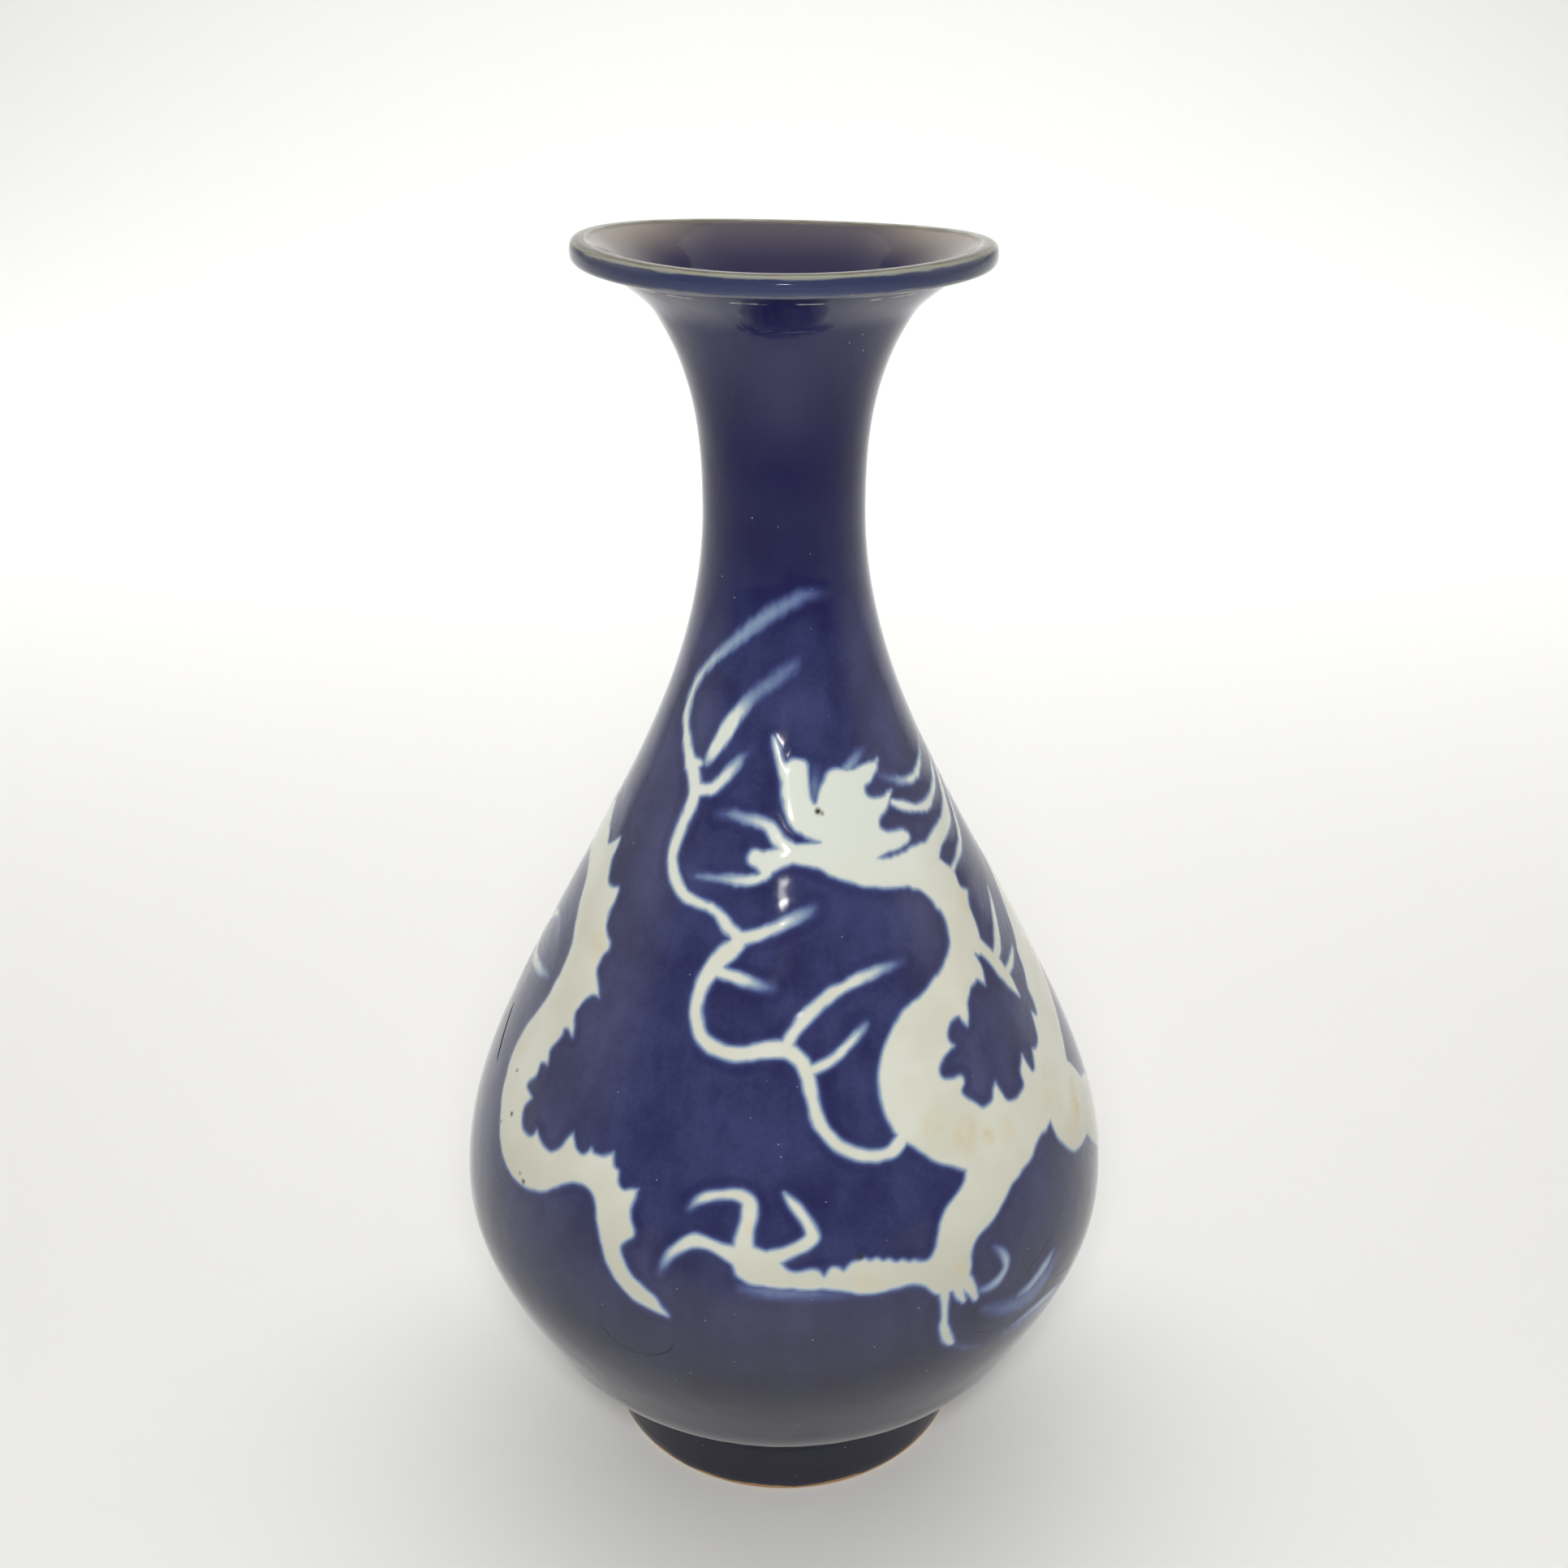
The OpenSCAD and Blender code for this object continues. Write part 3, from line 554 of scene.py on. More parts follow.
lay(
    "dragon_whiskers",
    stroke([
        (2, 177.8, 1.6), (-0.8, 179.2, 1.6), (-3.4, 181, 1.5), (-5.4, 182.2, 1.4, 0.95),
        (-8.6, 182.9, 1.3, 0.85), (-13.3, 183.5, 1.2, 0.7), (-19, 183.9, 1.1, 0.5),
        (-25, 183.4, 0.8, 0.25),
    ]),
    stroke([
        (-5.6, 173.2, 1.2), (-8.3, 171.9, 1.2), (-13.4, 171.3, 1.1, 0.88), (-19.7, 171.2, 1, 0.72),
        (-26.5, 170.8, 0.9, 0.52), (-30, 170.4, 0.7, 0.3),
    ]),
)
lay(
    "dragon_mane",
    stroke([
        (41, 189.4, 0.6, 0.3), (48, 187.5, 0.9, 0.5), (54, 186.3, 1, 0.8), (59.5, 185.7, 1.1),
        (64, 186, 1), (68, 186.9, 0.8), (74, 188.5, 0.6, 0.8), (81, 190.8, 0.3, 0.6),
    ]),
    stroke([
        (44, 183.4, 0.7), (50, 181.4, 1), (55, 180, 1.1), (60, 179.2, 1.3), (64, 179.2, 1.2),
        (68, 179.9, 1), (75, 181.1, 0.9), (81, 183.2, 0.8), (89, 186.4, 0.3),
    ]),
    outline([
        (44, 171, 1), (46, 173.2), (53, 173.1), (58, 173.9), (64, 174.7), (70, 175.5), (76, 177.2),
        (82, 179.8), (88.4, 182.6), (95, 184.6, 1), (89, 181), (83, 177.6), (78, 174.2),
        (73, 171.8), (67, 171), (62, 170.4), (58, 169), (56.2, 167.8), (52, 165), (47, 166),
    ]),
    stroke([
        (60, 164.6, 0.7), (66, 165.8, 0.8), (71, 166.8, 0.9), (76, 168.6, 0.9), (80, 171.4, 0.8),
        (86, 175.4, 0.6), (93, 179.2, 0.3),
    ]),
)


# Body from throat to tail: the broad lays of slip, with a saw-toothed fin along the inner edge.
# The trunk winds round the back of the vase and comes in again on the left as the tail.
lay("dragon_neck", outline([
    (38, 170), (46, 171), (54, 172), (57, 168.4), (60, 165.4), (61.4, 164), (61, 161.2),
    (63.9, 159.2, 1), (61.8, 157), (61, 154), (60.5, 151.6), (59.6, 149), (58.2, 147.4),
    (56.6, 146.8), (55.1, 147.8), (55.6, 145.3), (55.3, 142.9), (54.4, 141, 1), (53.4, 141.9),
    (52, 143.2), (49, 142.5), (44, 142), (36, 141), (30, 143), (35.5, 146.3), (40, 147.8),
    (43.6, 149.6), (46.4, 151.6), (48, 154), (48.9, 157), (48.4, 159.6), (46.6, 162.4), (44, 164.6),
    (40, 166.4),
]))
lay("dragon_chest", outline([
    (40, 147.8), (35.5, 146.3), (31, 145), (27.4, 143.2), (24, 140.6), (21.5, 137.2), (20, 133.6),
    (19.4, 130), (19.5, 126.4), (20.4, 123), (22, 120.2), (24.6, 117.4), (27, 114.6), (29, 112.7),
    (31.6, 111.3), (33.9, 109.6, 1), (35, 105), (40, 101.5), (44, 102.5), (48.8, 104),
    (51.7, 105.9), (55, 107), (58.2, 107.3, 1), (64, 108.6), (69, 112), (70, 120), (67.7, 128.2, 1),
    (66.7, 126.6), (65.4, 123.8), (63.3, 122.4), (61.4, 122.9, 1), (60.4, 121.2), (59.6, 119.5),
    (58.4, 119.4), (57.6, 121.4), (57.2, 123.7, 1), (55, 121.3), (54.2, 118.4), (51.2, 117.5),
    (48.2, 118.3), (47.2, 120.4), (46.6, 122.9, 1), (45.4, 122), (44, 120.1), (41.2, 119.9),
    (38.9, 122.6), (37.7, 124.7), (38.8, 126.2), (38.4, 127.6), (36.1, 128), (33.9, 128.6),
    (33.4, 130.4), (35.7, 132.7), (38.8, 133.8, 1), (38, 135), (38.2, 136.6), (39.8, 138.1),
    (42.3, 138.8), (43.4, 137.6), (44.2, 136.2, 1), (45.6, 138.4), (46.5, 140.7), (48.9, 142.4),
    (52, 143.2), (53, 146),
]))


TOOTH = [1, 0.3, 0, 0.3]
TOOTH_PARTS = len(TOOTH)


def finned(points):
    """The edge of a winding body: angle, height, half width, and the fin's height on its left."""
    run = smooth_run(points, TOOTH_PARTS)
    along = np.gradient(run[:, :2], axis=0)
    wide = wall_radius(run[:, 1]) * math.pi / 180
    tall = np.sqrt(1 + wall_lean(run[:, 1]) ** 2)
    u, v = along[:, 0] * wide, along[:, 1] * tall
    size = np.hypot(u, v)
    tooth = np.take(TOOTH, np.arange(len(run)) % TOOTH_PARTS)
    right = run[:, 2]
    left = run[:, 2] + run[:, 3] * tooth
    low = np.stack([run[:, 0] + right * v / size / wide, run[:, 1] - right * u / size / tall], 1)
    high = np.stack([run[:, 0] - left * v / size / wide, run[:, 1] + left * u / size / tall], 1)
    return {"edge": np.vstack([low, high[::-1]])}


lay(
    "dragon_trunk",
    outline([
        (52, 112), (55, 107), (58.2, 107.3, 1), (62, 107), (70, 107), (74.6, 111.8, 1),
        (77.3, 115.1), (80.4, 118.2), (83.8, 121.3), (90, 127.6), (96, 134), (95, 156), (90, 153),
        (85, 148.8), (80.4, 143.8), (77.4, 141), (75.3, 139.2), (73.8, 135.6), (71.3, 132.2),
        (70.7, 129.2), (69.4, 126.6), (67.7, 128.2, 1), (66.7, 126.6), (65.4, 123.8), (63.3, 122.4),
        (61.4, 122.9, 1), (60.4, 121.2), (59.6, 119.5), (56, 117),
    ]),
    finned([
        [84, 133, 7.5, 0.5], [92, 140.5, 7.4, 2.4], [101, 146.6, 7.4, 2.6], [111, 150, 7.4, 2.6],
        [121, 149.6, 7.4, 2.6], [130, 145.6, 7.4, 2.6], [139, 139, 7.4, 2.6],
        [148, 131.6, 7.4, 2.6], [157, 125, 7.4, 2.6], [167, 120.2, 7.4, 2.6],
        [177, 118.6, 7.4, 2.6], [187, 120, 7.4, 2.6], [197, 124.4, 7.4, 2.6],
        [207, 131.4, 7.3, 2.6], [216, 139.4, 7.2, 2.6], [225, 147.4, 7.1, 2.6],
        [234, 154.4, 7, 2.6], [244, 160.4, 6.8, 2.4], [255, 164.6, 6.6, 2.4],
        [266, 166.4, 6.2, 1.4], [277, 166.2, 5.6, 0],
    ]),
)
lay("dragon_tail", outline([
    (-90, 161.2), (-85, 160.6), (-79, 159), (-75, 156.6), (-72, 153), (-69, 150), (-66.8, 147.4),
    (-65.4, 144), (-65, 140.5), (-65.2, 136.4), (-66.2, 132.4), (-68, 127.6), (-69.2, 124.6),
    (-70, 121), (-70, 117.4), (-69.4, 113.4), (-67.6, 108.6), (-65.4, 104.4), (-63, 101.2),
    (-60.4, 98.6), (-57.4, 96.9), (-54, 96.2), (-51, 96.6), (-48, 97.7), (-45, 99.4), (-42, 102.4),
    (-39.6, 104.4), (-37, 105), (-35, 104), (-33.6, 101.4), (-32.6, 98), (-31.6, 94.6), (-30, 91),
    (-27.6, 87.6), (-24.4, 84.8), (-21, 83.3), (-18.4, 82.8, 1), (-18.8, 83.8), (-20.6, 86.4),
    (-22.4, 88), (-24.8, 89.8), (-26.2, 91.8), (-27.3, 94), (-27.5, 95.6), (-27, 97), (-25.9, 98.4),
    (-25.8, 99.8), (-26.6, 101.8), (-27, 104), (-26.8, 105.6), (-26.1, 108.6, 1), (-27.7, 108.2),
    (-29, 107.5), (-30.2, 108.8), (-30.6, 110.9, 1), (-31.7, 111.6), (-32.4, 114, 1),
    (-34.6, 112.3), (-36.4, 112), (-37.5, 112.9, 1), (-38, 111.8), (-39.2, 110.9), (-40.8, 111.6),
    (-42.4, 114, 1), (-43.6, 112.2), (-44.4, 109.7), (-46, 107.8), (-48, 107.5), (-50.2, 108.4),
    (-51.8, 109.7, 1), (-52.4, 108), (-53.8, 107), (-56, 107.4), (-57.4, 109.6), (-57.6, 111.8),
    (-56.5, 114.3, 1), (-57.9, 114.7), (-59.4, 115.3), (-59.2, 116.6), (-57.8, 119), (-57.9, 121.6),
    (-56.6, 122.3), (-55.4, 122.4, 1), (-55.8, 123.8), (-56.4, 125.2), (-55.6, 127.5),
    (-54.6, 129.8), (-54.7, 131), (-53.2, 131.4), (-51.2, 130.9, 1), (-51.8, 132.9), (-52.8, 134.7),
    (-53.1, 136), (-51.6, 138.6), (-49.8, 140.6), (-47.3, 141, 1), (-49, 143), (-50.9, 144.5),
    (-51.6, 146.2), (-51.3, 149), (-50, 150.4), (-50.5, 152.1), (-52.8, 153.2), (-54.5, 154.5),
    (-55.4, 157.2), (-54.8, 160.2), (-55.8, 162.2), (-58.4, 161.5), (-61.3, 161.7), (-63.8, 163.7),
    (-65.3, 166), (-65.3, 168.8), (-66.4, 170.6), (-69, 169), (-72, 167.3), (-74.2, 168.2),
    (-77.6, 169.6), (-81, 171), (-85, 172.4), (-90, 172.8),
]))


# Legs and claws: each leg is one lay of slip from its joint to the paw, and each claw one stroke.
# The near foreleg reaches across the front; the far one and the hind legs are round the side.
lay(
    "near_foreleg",
    outline([
        (38, 112), (33.9, 109.5, 1), (33.4, 107.9), (32, 106.4), (30.1, 105), (28.4, 103.3),
        (27.3, 101.3), (26.5, 98.8), (25.8, 96.3), (24.8, 94.7), (23.4, 94), (21.6, 95.1),
        (20.6, 94.9), (19.4, 95.8), (18.4, 95.6), (17.2, 96.5), (16.2, 96.3), (15.2, 97.2),
        (14.1, 96.9), (13, 97.6), (12, 97.2), (11, 97), (9.6, 95.4, 1), (8.6, 96.3), (7.6, 96.5),
        (6.4, 94.8, 1), (5.4, 96), (4.2, 96.1), (2.6, 95.6), (1.2, 95.8), (0, 96.8), (-0.7, 98),
        (-2, 99.6), (-4.8, 101), (-8, 100.6), (-9.4, 98.8), (-8.5, 97.6), (-8, 95.9), (-7.5, 94.7),
        (-6.2, 93.5), (-5, 93), (-2.6, 92.8), (0, 92.5), (2.3, 92.3), (5, 91.9), (7.3, 91.6),
        (10, 90.9), (11.6, 90.1), (13.2, 89.7), (15.5, 89.5), (17.9, 89.7), (20, 89.8),
        (21.8, 89.4), (23.1, 88.4), (24.1, 86.8), (25.1, 85.6), (27.4, 85.2), (29.4, 84.8),
        (31.6, 84.6), (31.4, 86), (31.3, 87.7), (31.7, 89.3), (32, 91.4), (32.5, 93), (33.4, 94.5),
        (34.5, 95.7), (36.4, 96.5), (38, 97.3), (39.6, 98.8), (41.1, 100), (43.4, 102), (47, 104),
        (48, 112),
    ]),
    stroke([
        (-6.8, 92.2, 1.2, 0.28), (-2, 91.6, 1.6, 0.36), (3, 91.2, 1.5, 0.34), (8, 90.6, 1.2, 0.28),
        (12, 89.8, 0.6, 0.16),
    ]),
)
lay(
    "near_fore_claws",
    stroke([
        (-8, 99, 2), (-11.4, 100.4, 1.15), (-13.4, 101, 1.2), (-15.2, 100.9, 1.4), (-17, 99.5, 1.2),
        (-18.6, 97.4, 1, 0.9), (-19.7, 95, 0.8, 0.6), (-20.4, 92.6, 0.5, 0.3),
    ]),
    stroke([
        (-6.6, 99.6, 2.3), (-6.6, 102.5, 2), (-6.1, 105.5, 1.85), (-5.9, 108.2, 1.7),
        (-6.3, 110.3, 1.5), (-8.4, 111.3, 1.25), (-11, 111.1, 1.1), (-13.4, 110.2, 0.95),
        (-15.2, 108.8, 0.8, 0.8), (-16.4, 107.2, 0.6, 0.4),
    ]),
    stroke([
        (-3, 98.4, 1.8), (-0.4, 99.6, 1.4), (1.6, 100.6, 1.3), (3.4, 101.7, 1.4), (4.6, 103.2, 1.5),
        (4.2, 105.2, 1.35), (3.2, 107.4, 1.2), (1.9, 109.4, 1), (0.7, 111, 0.6), (0, 112.2, 0.2),
    ]),
    stroke([
        (26.4, 86, 1.4), (26.3, 83, 1.1), (26.2, 80, 0.9), (26.1, 77, 1.1), (26.5, 74.4, 1.2),
        (27.3, 72, 0.8), (27.8, 71.2, 0.4),
    ]),
    stroke([(28, 70.6, 0.8, 0.3), (30, 68.4, 1, 0.24), (33, 66, 1.1, 0.2), (37, 63.6, 0.8, 0.14)]),
    stroke([(28.8, 86, 1.3), (29.2, 83.6, 1.1), (29.8, 81.8, 0.7)]),
    stroke([(30.6, 86, 1.5), (31.5, 83.4, 1.2), (32.1, 81.2, 0.8)]),
)
lay("far_foreleg", outline([
    (58.2, 107.4, 1), (58.9, 103.2), (60.2, 100.6), (62.4, 97.4), (64.6, 95.6), (68, 94.8),
    (71.3, 94.2), (73, 91.5), (76.4, 86.5), (80.6, 83), (86, 80.6), (93, 79.4), (100, 79.6),
    (107, 81.2), (111, 83), (110.6, 86.6), (107.8, 86.8), (103.6, 86.4), (99.4, 86.6), (96.6, 87.2),
    (94.6, 89), (92.6, 92), (90, 95.2), (87.4, 98), (84, 100.6), (79.6, 103.6), (77, 107.6),
    (74.6, 111.8, 1), (70, 116), (60, 114),
]))
lay(
    "far_fore_claws",
    stroke([
        (110, 84.4, 1.3), (115, 86.4, 1.3), (119, 86, 1.2), (122, 83, 0.9), (123.6, 79.4, 0.3),
    ]),
    stroke([
        (108.6, 86, 1.1), (111, 91.4, 1.2), (110.6, 95, 1.1), (108, 97.6, 0.8), (104.8, 98.6, 0.3),
    ]),
    stroke([
        (109.4, 82.4, 1.1), (112.6, 77.8, 1.2), (116, 75.4, 1.1), (119.6, 75, 0.8),
        (122.6, 76.4, 0.3),
    ]),
)
lay("near_hind_leg", stroke([
    (134.6, 134, 5), (133, 125, 5.6), (132.6, 118, 5.2), (135, 111, 4.4), (140, 105.4, 3.6),
    (146, 102, 3), (152, 100.4, 2.6), (157, 100, 2.4),
]))
lay(
    "near_hind_claws",
    stroke([
        (157, 99.6, 1.3), (162.4, 101.4, 1.3), (166.4, 100.4, 1.1), (169, 97.2, 0.8),
        (170.2, 93.6, 0.3),
    ]),
    stroke([
        (156, 101.4, 1.1), (158, 106.4, 1.2), (157.4, 109.8, 1.1), (154.6, 112, 0.8),
        (151.4, 112.6, 0.3),
    ]),
    stroke([
        (156, 98.4, 1.1), (158.2, 93.4, 1.2), (161.6, 91, 1.1), (165.4, 90.8, 0.8),
        (168.2, 92, 0.3),
    ]),
)
lay("far_hind_leg", stroke([
    (229, 144.4, 5), (236, 136.4, 5.2), (241.6, 131.2, 4.6), (247.6, 128.2, 3.8), (254, 128.4, 3.2),
    (260, 130.4, 2.8), (265, 132.6, 2.5),
]))
lay(
    "far_hind_claws",
    stroke([
        (265, 132.8, 1.3), (272, 132.2, 1.3), (277.4, 132.8, 1.4, 0.95), (283.6, 134.2, 1.3, 0.8),
        (288, 135.4, 1, 0.5), (291, 136, 0.6, 0.3),
    ]),
    stroke([
        (264, 133.6, 1.1), (268.4, 140, 1.2), (273.4, 143.6, 1.1), (279, 144.8, 1, 0.5),
        (283.4, 143.8, 0.9, 0.45), (287.4, 142.4, 0.6, 0.3),
    ]),
    stroke([
        (264.6, 131, 1.1), (266, 126, 1.2), (264, 121.6, 1), (260, 119.4, 0.7), (256.6, 119.8, 0.3),
    ]),
)


# Fire ribbon and flames: thin strokes of slip that wind in front of the dragon from the neck
# down to its chest, with sprays that fade into the blue, and small flames at shoulder and knee.
lay(
    "fire_ribbon",
    stroke([
        (28, 229.6, 0.8, 0.16), (15, 229.6, 1.4, 0.34), (0, 227.4, 1.6, 0.44),
        (-15, 223.8, 1.6, 0.5), (-25, 220.6, 1.4, 0.56), (-35, 217, 1.1, 0.66), (-45, 213, 1, 0.78),
        (-51.5, 208.8, 1, 0.9), (-54, 204.4, 1, 0.95), (-53.2, 200.2, 1.1), (-49.5, 197.2, 1.2),
        (-45.8, 194.2, 1.4), (-42, 191.9, 1.8), (-38.5, 189.7, 1.8), (-36.4, 186.6, 1.6),
        (-36.9, 182.4, 1.45), (-38.4, 177.5, 1.4), (-38.4, 173.4, 1.35), (-36, 169.9, 1.35),
        (-31.4, 166.9, 1.3), (-25.5, 165.8, 1.25), (-19.8, 164.9, 1.3), (-15.5, 162.3, 1.4),
        (-12.4, 160, 1.7), (-14.2, 157.8, 1.9), (-17.8, 154.5, 1.9), (-20.4, 150.4, 1.6),
        (-20.9, 146.6, 1.55), (-19.9, 142.9, 1.6), (-17.6, 140, 1.7), (-13.8, 138.5, 1.7),
        (-10, 138.3, 1.7), (-4, 139.2, 1.85), (0.6, 139.3, 1.8), (3.8, 137, 1.6), (5, 134, 1.5),
        (5.6, 130, 1.4), (7.2, 124.6, 1.35), (11, 120, 1.35), (15.5, 117.9, 1.4),
        (19.4, 117.7, 1.4), (21.8, 119.2, 1.45), (24, 121.6, 1.5),
    ]),
    stroke([(-42, 191.4, 1.6), (-39.4, 192.2, 1.4), (-36.4, 192.6, 0.6)]),
)
lay(
    "fire_ribbon_sprays",
    stroke([
        (-34.4, 193.2, 0.8, 0.7), (-31.6, 195.8, 1.4), (-27, 200.5, 1.7), (-22.5, 204.5, 1.5, 0.9),
        (-17, 207.4, 1.5, 0.54), (-8, 210.8, 1.7, 0.4), (1, 213.4, 1.8, 0.36), (6, 215, 1.4, 0.3),
        (9, 216.6, 0.5, 0.2),
    ]),
    stroke([
        (-36, 187.2, 1.6), (-31.4, 187.8, 1.4), (-28.1, 188.5, 1.3), (-24.7, 190.8, 1.25),
        (-21.2, 193.4, 1.15, 0.8), (-18.1, 195.6, 1, 0.5), (-14.6, 197, 0.7, 0.25),
    ]),
    stroke([
        (-12, 160.2, 1.5), (-6.4, 161.4, 1.35), (-1.1, 163.1, 1.3, 0.9), (4.4, 164.9, 1.3, 0.65),
        (8.6, 166.2, 1.1, 0.34),
    ]),
    stroke([
        (-17.6, 154, 1.6), (-14.9, 153.3, 1.4), (-10.7, 152.6, 1.3, 0.95), (-6.6, 151.8, 1.25, 0.7),
        (-3.2, 151.2, 1.1, 0.36),
    ]),
    stroke([
        (0.8, 140.6, 1.2), (2.4, 143, 1.2), (5, 145.6, 1.35), (9.6, 148.8, 1.4), (15.5, 151, 1.3),
        (22, 152.4, 1.2, 0.85), (26.6, 152.9, 1.1, 0.6), (31, 153, 0.8, 0.3),
    ]),
    stroke([
        (4.4, 135.2, 1.1), (7.4, 136, 1.1), (10.4, 137.2, 1.1), (14, 139.6, 1.1),
        (17, 141.7, 0.9, 0.8), (18.8, 143, 0.6, 0.5),
    ]),
)
lay(
    "shoulder_flame",
    stroke([
        (58.4, 148.4, 1.8), (61, 144.4, 2), (62.6, 141.2, 2.1), (64.2, 137.4, 1.5),
        (65.6, 133.4, 0.3),
    ]),
    stroke([
        (62.6, 144, 1.4), (65.4, 145, 1.5), (68.4, 147.2, 1.4), (72.4, 150.4, 1.2),
        (77, 154.6, 0.5),
    ]),
    stroke([(64, 139.6, 1.1), (67, 139.8, 1.2), (69.8, 140.2, 1.2), (73.2, 141.2, 0.5)]),
)
lay(
    "knee_flames",
    stroke([
        (32.6, 82.6, 0.7, 0.4), (34.6, 82.2, 0.8, 0.6), (37, 82.8, 0.9, 0.75), (38.7, 84.6, 1, 0.8),
        (39, 86.6, 0.95, 0.75), (38.3, 89, 0.8, 0.65), (37, 91, 0.5, 0.4),
    ]),
    stroke([
        (34, 77, 1.6, 0.22), (39, 73.8, 2.3, 0.3), (44, 72.8, 2.5, 0.34), (48.4, 74.4, 2.3, 0.34),
        (52, 77.6, 1.6, 0.22),
    ]),
    stroke([
        (41.6, 75.2, 0.8, 0.45), (44.2, 75.6, 0.9, 0.68), (46.8, 77, 1, 0.75), (49, 78.4, 0.9, 0.7),
        (51, 80, 0.4, 0.5),
    ]),
    stroke([(39, 66, 1.4, 0.2), (45, 65, 2.2, 0.3), (51, 64.6, 2.2, 0.34), (57, 64.4, 1.4, 0.25)]),
    stroke([
        (41, 66.4, 0.7, 0.4), (45, 66.6, 1, 0.65), (49, 66.6, 1.1, 0.75), (53, 66.2, 1, 0.7),
        (57, 65, 0.5, 0.4),
    ]),
)


# Glazing the dragon: each lay of slip becomes a thin relief on the wall, with a skirt of bare wall
# round it, so that the glaze runs over both without a seam. Kiln stains and specks lie on it.
SLIP_RISE = 0.2
SLIP_FILM = 0.02
SLIP_SEAT = 0.35
SLIP_CREASE = math.radians(40)
STAINS = [
    (69.6, 102.8, 4, 1), (66, 101, 5, 0.55), (72, 106, 4, 0.6), (62, 112, 8, 0.3),
    (36, 116.4, 5, 0.5), (40.5, 114, 3, 0.7), (45.5, 113.4, 4, 0.4), (29.5, 121, 3.5, 0.5),
    (26, 128, 4, 0.25), (-54, 150, 5, 0.4), (-67, 120, 4, 0.3), (-57, 100, 4, 0.3),
    (14, 92.5, 5, 0.3), (60, 158, 4, 0.3), (30, 90, 3, 0.4), (-5.6, 105, 2, 0.6),
]
SPECKS = [
    (12.5, 185, 0.9, 1), (14, 184.5, 0.6, 0.7), (-65, 115.5, 0.6, 0.9), (-61, 107.5, 0.8, 1),
    (-64, 103.5, 0.6, 0.9), (-51.5, 97.5, 0.8, 1), (-53, 98.5, 0.5, 0.8), (12.5, 98, 0.9, 0.9),
]
COOL_WHITE, WARM_WHITE = paint(214, 215, 202), paint(207, 206, 190)
HEAD_LIT_WHITE, LOW_SHADED_WHITE = paint(215, 219, 209), paint(190, 190, 175)
STAIN_TAN, SPECK_BROWN = paint(205, 188, 142), paint(58, 52, 42)
POOLED_COBALT = paint(34, 32, 76)
SLIP_VEIL = [
    (0, paint(44, 46, 92)), (0.25, paint(72, 82, 128)), (0.5, paint(124, 143, 170)),
    (0.75, paint(172, 184, 190)), (1, paint(205, 208, 198)),
]


def marked(marks):
    """Soft round marks on the wall, given as angle, height, reach and strength."""
    field = np.zeros((rows, columns))
    for angle, height, reach, strength in marks:
        turn = (FIRST_ANGLE + ANGLE_STEP * np.arange(columns) - angle + 180) % 360 - 180
        up = (row_height - height) * row_tall
        far = np.hypot(turn[None] * row_wide[:, None], up[:, None])
        field = np.maximum(field, strength * (1 - eased(far, 0.3 * reach, 1.2 * reach)))
    return field


def slip_finish(start):
    place, colour, wave = cobalt(start)
    deep, slip = start.attribute("deep"), start.attribute("slip")
    stain, speck = start.attribute("stain"), start.attribute("speck")
    height = place.axis(2)
    ragged, cloud, curl = place.noise(420, 3), place.noise(55, 4), place.noise(230, 3)
    soft = slip + (ragged - 0.5) * slip * (1 - slip) * 0.6
    white = blended(cloud.eased(0.35, 0.7), COOL_WHITE, WARM_WHITE)
    # Painted light and shade: the slip is painted brighter up on the head and darker low on the
    # belly.
    white = blended(height.eased(150 * MM, 185 * MM), white, HEAD_LIT_WHITE)
    white = blended(1 - height.eased(86 * MM, 108 * MM), white, LOW_SHADED_WHITE)
    curdled = stain * (0.35 + 0.65 * curl.eased(0.38, 0.62))
    white = blended(curdled * 0.85, white, STAIN_TAN)
    veil = start.node("ValToRGB", {"stops": SLIP_VEIL}, {0: soft}, "Color")
    pool = deep.eased(-SKIRT, -1.9) * (1 - deep.eased(-1.3, 0))
    colour = blended(pool * cloud.eased(0.35, 0.65) * 0.45, colour, POOLED_COBALT)
    colour = blended(soft.eased(0, 0.3), colour, veil)
    colour = blended(soft.eased(0.62, 0.95), colour, white)
    colour = blended(speck, colour, SPECK_BROWN)
    return colour, GLAZE_ROUGHNESS, wave


names = list(lay_depth)
depths = np.stack([lay_depth[name] + 0.01 * i for i, name in enumerate(names)])
order = np.argsort(depths, 0)
owner, second = order[-1], order[-2]
best = np.take_along_axis(depths, owner[None], 0)[0]
rival = np.take_along_axis(depths, second[None], 0)[0]
slip_glaze = finished("slip_glaze", slip_finish)
grid = np.stack([
    np.tile(FIRST_ANGLE + ANGLE_STEP * np.arange(columns), (rows, 1)),
    np.tile(row_height[:, None], (1, columns)),
    best,
    np.max([lay_tone[name] for name in names], 0),
    marked(STAINS),
    marked(SPECKS),
], 2)


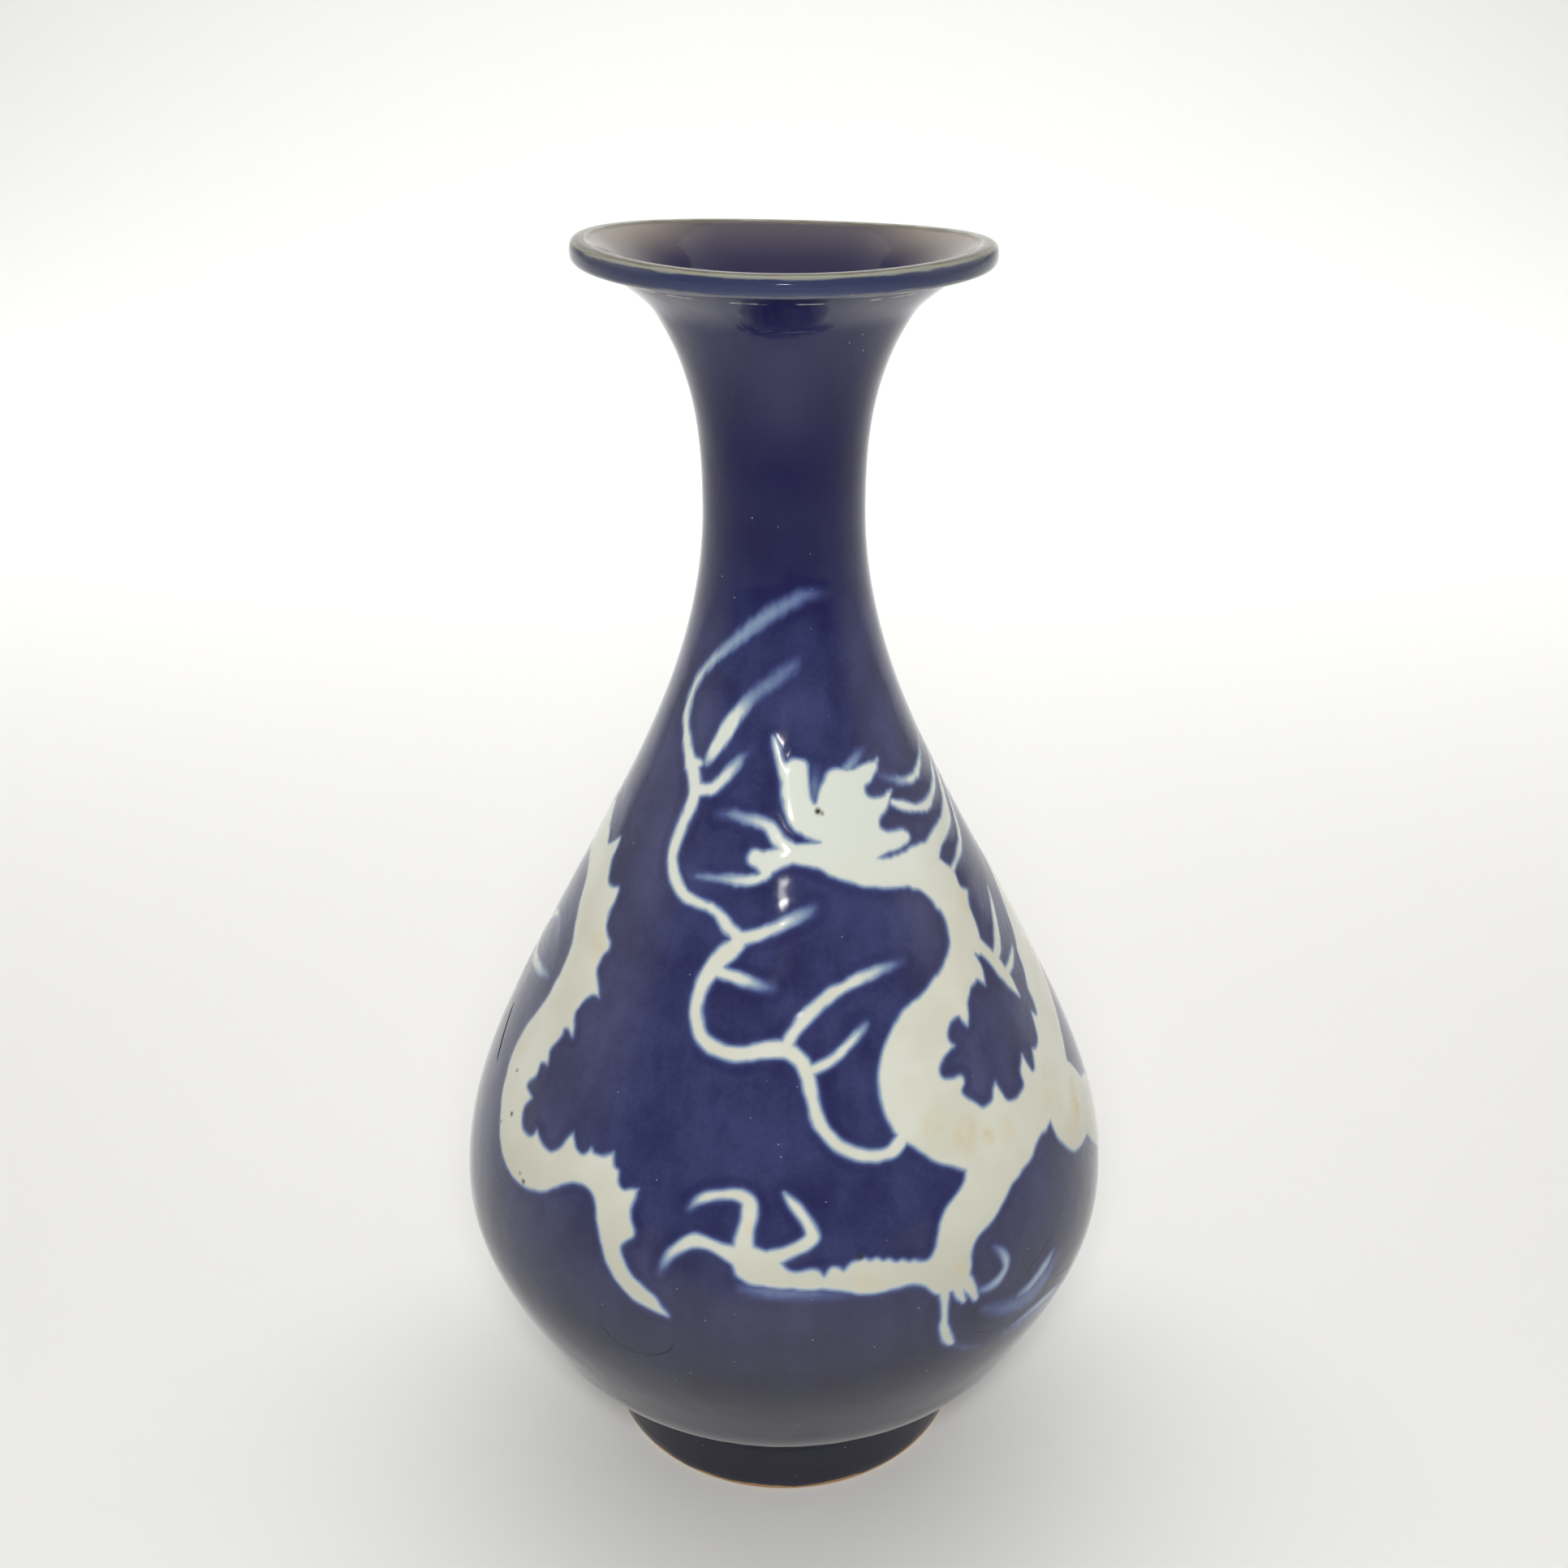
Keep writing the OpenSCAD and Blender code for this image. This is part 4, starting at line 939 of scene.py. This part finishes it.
def relief(name, index):
    """The part of the wall under one lay of slip, cut along its skirt and raised in relief."""
    lead = np.where(owner == index, best - rival, depths[index] - best)
    field = np.minimum(best + SKIRT, lead)
    inside = field > 0
    count = inside.astype(int)
    across = np.roll(count, -1, 1)
    corners = count[:-1] + count[1:] + across[:-1] + across[1:]
    made, points, faces = {}, [], []

    def read(cell):
        """How far inside the piece a cell of the grid is, and its row of values."""
        turns, column = divmod(cell[1], columns)
        values = grid[cell[0], column].copy()
        values[0] += 360 * turns
        return field[cell[0], column], values

    def corner(cell):
        if cell not in made:
            made[cell] = len(points)
            points.append(read(cell)[1])
        return made[cell]

    def crossing(a, b):
        key = (min(a, b), max(a, b))
        if key not in made:
            (fa, pa), (fb, pb) = read(a), read(b)
            made[key] = len(points)
            points.append(pa + (pb - pa) * (fa / (fa - fb)))
        return made[key]

    for i, j in zip(*np.nonzero(corners)):
        ring = [(i, j), (i, j + 1), (i + 1, j + 1), (i + 1, j)]
        face = []
        for a, b in zip(ring, ring[1:] + ring[:1]):
            here, there = inside[a[0], a[1] % columns], inside[b[0], b[1] % columns]
            if here:
                face.append(corner(a))
            if here != there:
                face.append(crossing(a, b))
        if len(face) > 2:
            faces.append(face)
    angle, height, deep, slip, stain, speck = np.array(points).T
    full = eased(deep, -SKIRT, 1.9) * (0.35 + 0.65 * slip)
    lift = SLIP_FILM + SLIP_RISE * full
    lean = wall_lean(height)
    slant = np.sqrt(1 + lean**2)
    radius, turn = wall_radius(height) + lift / slant, np.radians(angle)
    rise = height - lift * lean / slant
    spots = np.stack([radius * np.sin(turn), -radius * np.cos(turn), rise], 1) * MM
    piece = begin(name)
    piece.data.clear_geometry()
    piece.data.from_pydata(spots.tolist(), [], faces)
    labels = {"deep": deep, "slip": slip, "stain": stain, "speck": speck}
    for label, values in labels.items():
        noted(piece.data, label, values.astype(np.float32))
    bpy.ops.object.mode_set(mode="EDIT")
    bpy.ops.mesh.select_all(action="SELECT")
    bpy.ops.mesh.remove_doubles(threshold=SAME_POINT)
    bpy.ops.object.mode_set(mode="OBJECT")
    seat = piece.modifiers.new("seat", "SOLIDIFY")
    seat.thickness = SLIP_SEAT * MM
    seat.offset = -1
    bpy.ops.object.modifier_apply(modifier=seat.name)
    bpy.ops.object.shade_smooth_by_angle(angle=SLIP_CREASE)
    return piece


for index, name in enumerate(names):
    keep(relief(name + "_slip", index), slip_glaze, "white_slip", name)


# Floor, light and camera: a plain pale floor that sweeps up behind, a soft room that is bright at
# its sides and back, small lamps near the camera, and a broad one that lights the sweep.
STAGE_SIZE = 6
SWEEP_HEIGHT = 4
SWEEP_RADIUS = 1.6
SWEEP_STEPS = 16
STAGE_DROP = 0.02 * MM
STAGE_COLOUR = (0.86, 0.86, 0.85, 1)
STAGE_ROUGHNESS = 0.7
DIM_ROOM = (0.06, 0.06, 0.06, 1)
BRIGHT_ROOM = (1, 0.96, 0.88, 1)
CAMERA_PLACE = (0, -0.3759, 0.3474)
CAMERA_TILT = math.radians(65.55)
CAMERA_LENS = 40.04


def pick_edges(piece, wanted):
    """Selects the edges whose ends are both wanted, and nothing else, in edit mode."""
    bpy.ops.object.mode_set(mode="EDIT")
    bpy.ops.mesh.select_mode(type="EDGE")
    bpy.ops.mesh.select_all(action="DESELECT")
    bpy.ops.object.mode_set(mode="OBJECT")
    for edge in piece.data.edges:
        edge.select = all(wanted(piece.data.vertices[v].co) for v in edge.vertices)
    bpy.ops.object.mode_set(mode="EDIT")


bpy.ops.object.select_all(action="DESELECT")
bpy.ops.mesh.primitive_plane_add(size=STAGE_SIZE)
floor = bpy.context.object
floor.name = "floor"
pick_edges(floor, lambda spot: spot.y > 0)
bpy.ops.mesh.extrude_region_move(TRANSFORM_OT_translate={"value": (0, 0, SWEEP_HEIGHT)})
bpy.ops.object.mode_set(mode="OBJECT")
pick_edges(floor, lambda spot: spot.y > STAGE_SIZE / 2 - 0.1 and spot.z < 0.1)
bpy.ops.mesh.bevel(offset=SWEEP_RADIUS, segments=SWEEP_STEPS)
bpy.ops.mesh.select_all(action="SELECT")
bpy.ops.transform.translate(value=(0, 0, -STAGE_DROP))
bpy.ops.object.mode_set(mode="OBJECT")
bpy.ops.object.shade_smooth()
pale = bpy.data.materials.new("pale_floor")
pale.use_nodes = True
matt = pale.node_tree.nodes["Principled BSDF"]
matt.inputs["Base Color"].default_value = STAGE_COLOUR
matt.inputs["Roughness"].default_value = STAGE_ROUGHNESS
floor.data.materials.append(pale)

world = bpy.data.worlds.new("soft_room")
bpy.context.scene.world = world
world.use_nodes = True
way = Wire(world.node_tree).node("TexCoord", {}, {}, "Generated")
back, up = way.axis(1), way.axis(2)
shade_above = 1 - 0.8 * up.eased(0.35, 0.95)
side_light = back.eased(-0.6, 0) * (0.5 + 0.5 * up.eased(0, 0.4)) * shade_above
room = blended(side_light, DIM_ROOM, BRIGHT_ROOM)
world.node_tree.links.new(room.socket, world.node_tree.nodes["Background"].inputs["Color"])


def lamp(name, place, aim, wide, tall, watts, mirrored=True):
    """A soft oval lamp, which the glaze mirrors unless told not to."""
    light = bpy.data.lights.new(name, "AREA")
    light.shape = "ELLIPSE"
    light.size, light.size_y = wide, tall
    light.energy = watts
    held = bpy.data.objects.new(name, light)
    bpy.context.scene.collection.objects.link(held)
    held.location = place
    held.rotation_euler = (Vector(aim) - Vector(place)).to_track_quat("-Z", "Y").to_euler()
    held.visible_camera = False
    held.visible_glossy = mirrored


lamp("camera_lamp", place=(0, -0.4, 0.375), aim=(0, 0, 0.14), wide=0.1, tall=0.1, watts=1.4,
     mirrored=False)
lamp("spark_lamp", place=(0, -0.4, 0.3568), aim=(0, 0, 0.17), wide=0.045, tall=0.003, watts=0.045)
lamp("glow_lamp", place=(0, -0.4, 0.3565), aim=(0, 0, 0.17), wide=0.1, tall=0.006, watts=0.004)
lamp("backdrop_lamp", place=(0, 0.9, 1.7), aim=(0, 1.9, 0.1), wide=4, tall=0.6, watts=52,
     mirrored=False)

camera = bpy.data.objects.new("camera", bpy.data.cameras.new("camera"))
bpy.context.scene.collection.objects.link(camera)
camera.location = CAMERA_PLACE
camera.rotation_euler = (CAMERA_TILT, 0, 0)
camera.data.sensor_width = 36
camera.data.lens = CAMERA_LENS
camera.data.clip_start = 0.01
bpy.context.scene.camera = camera
bpy.context.scene.view_settings.view_transform = "Standard"
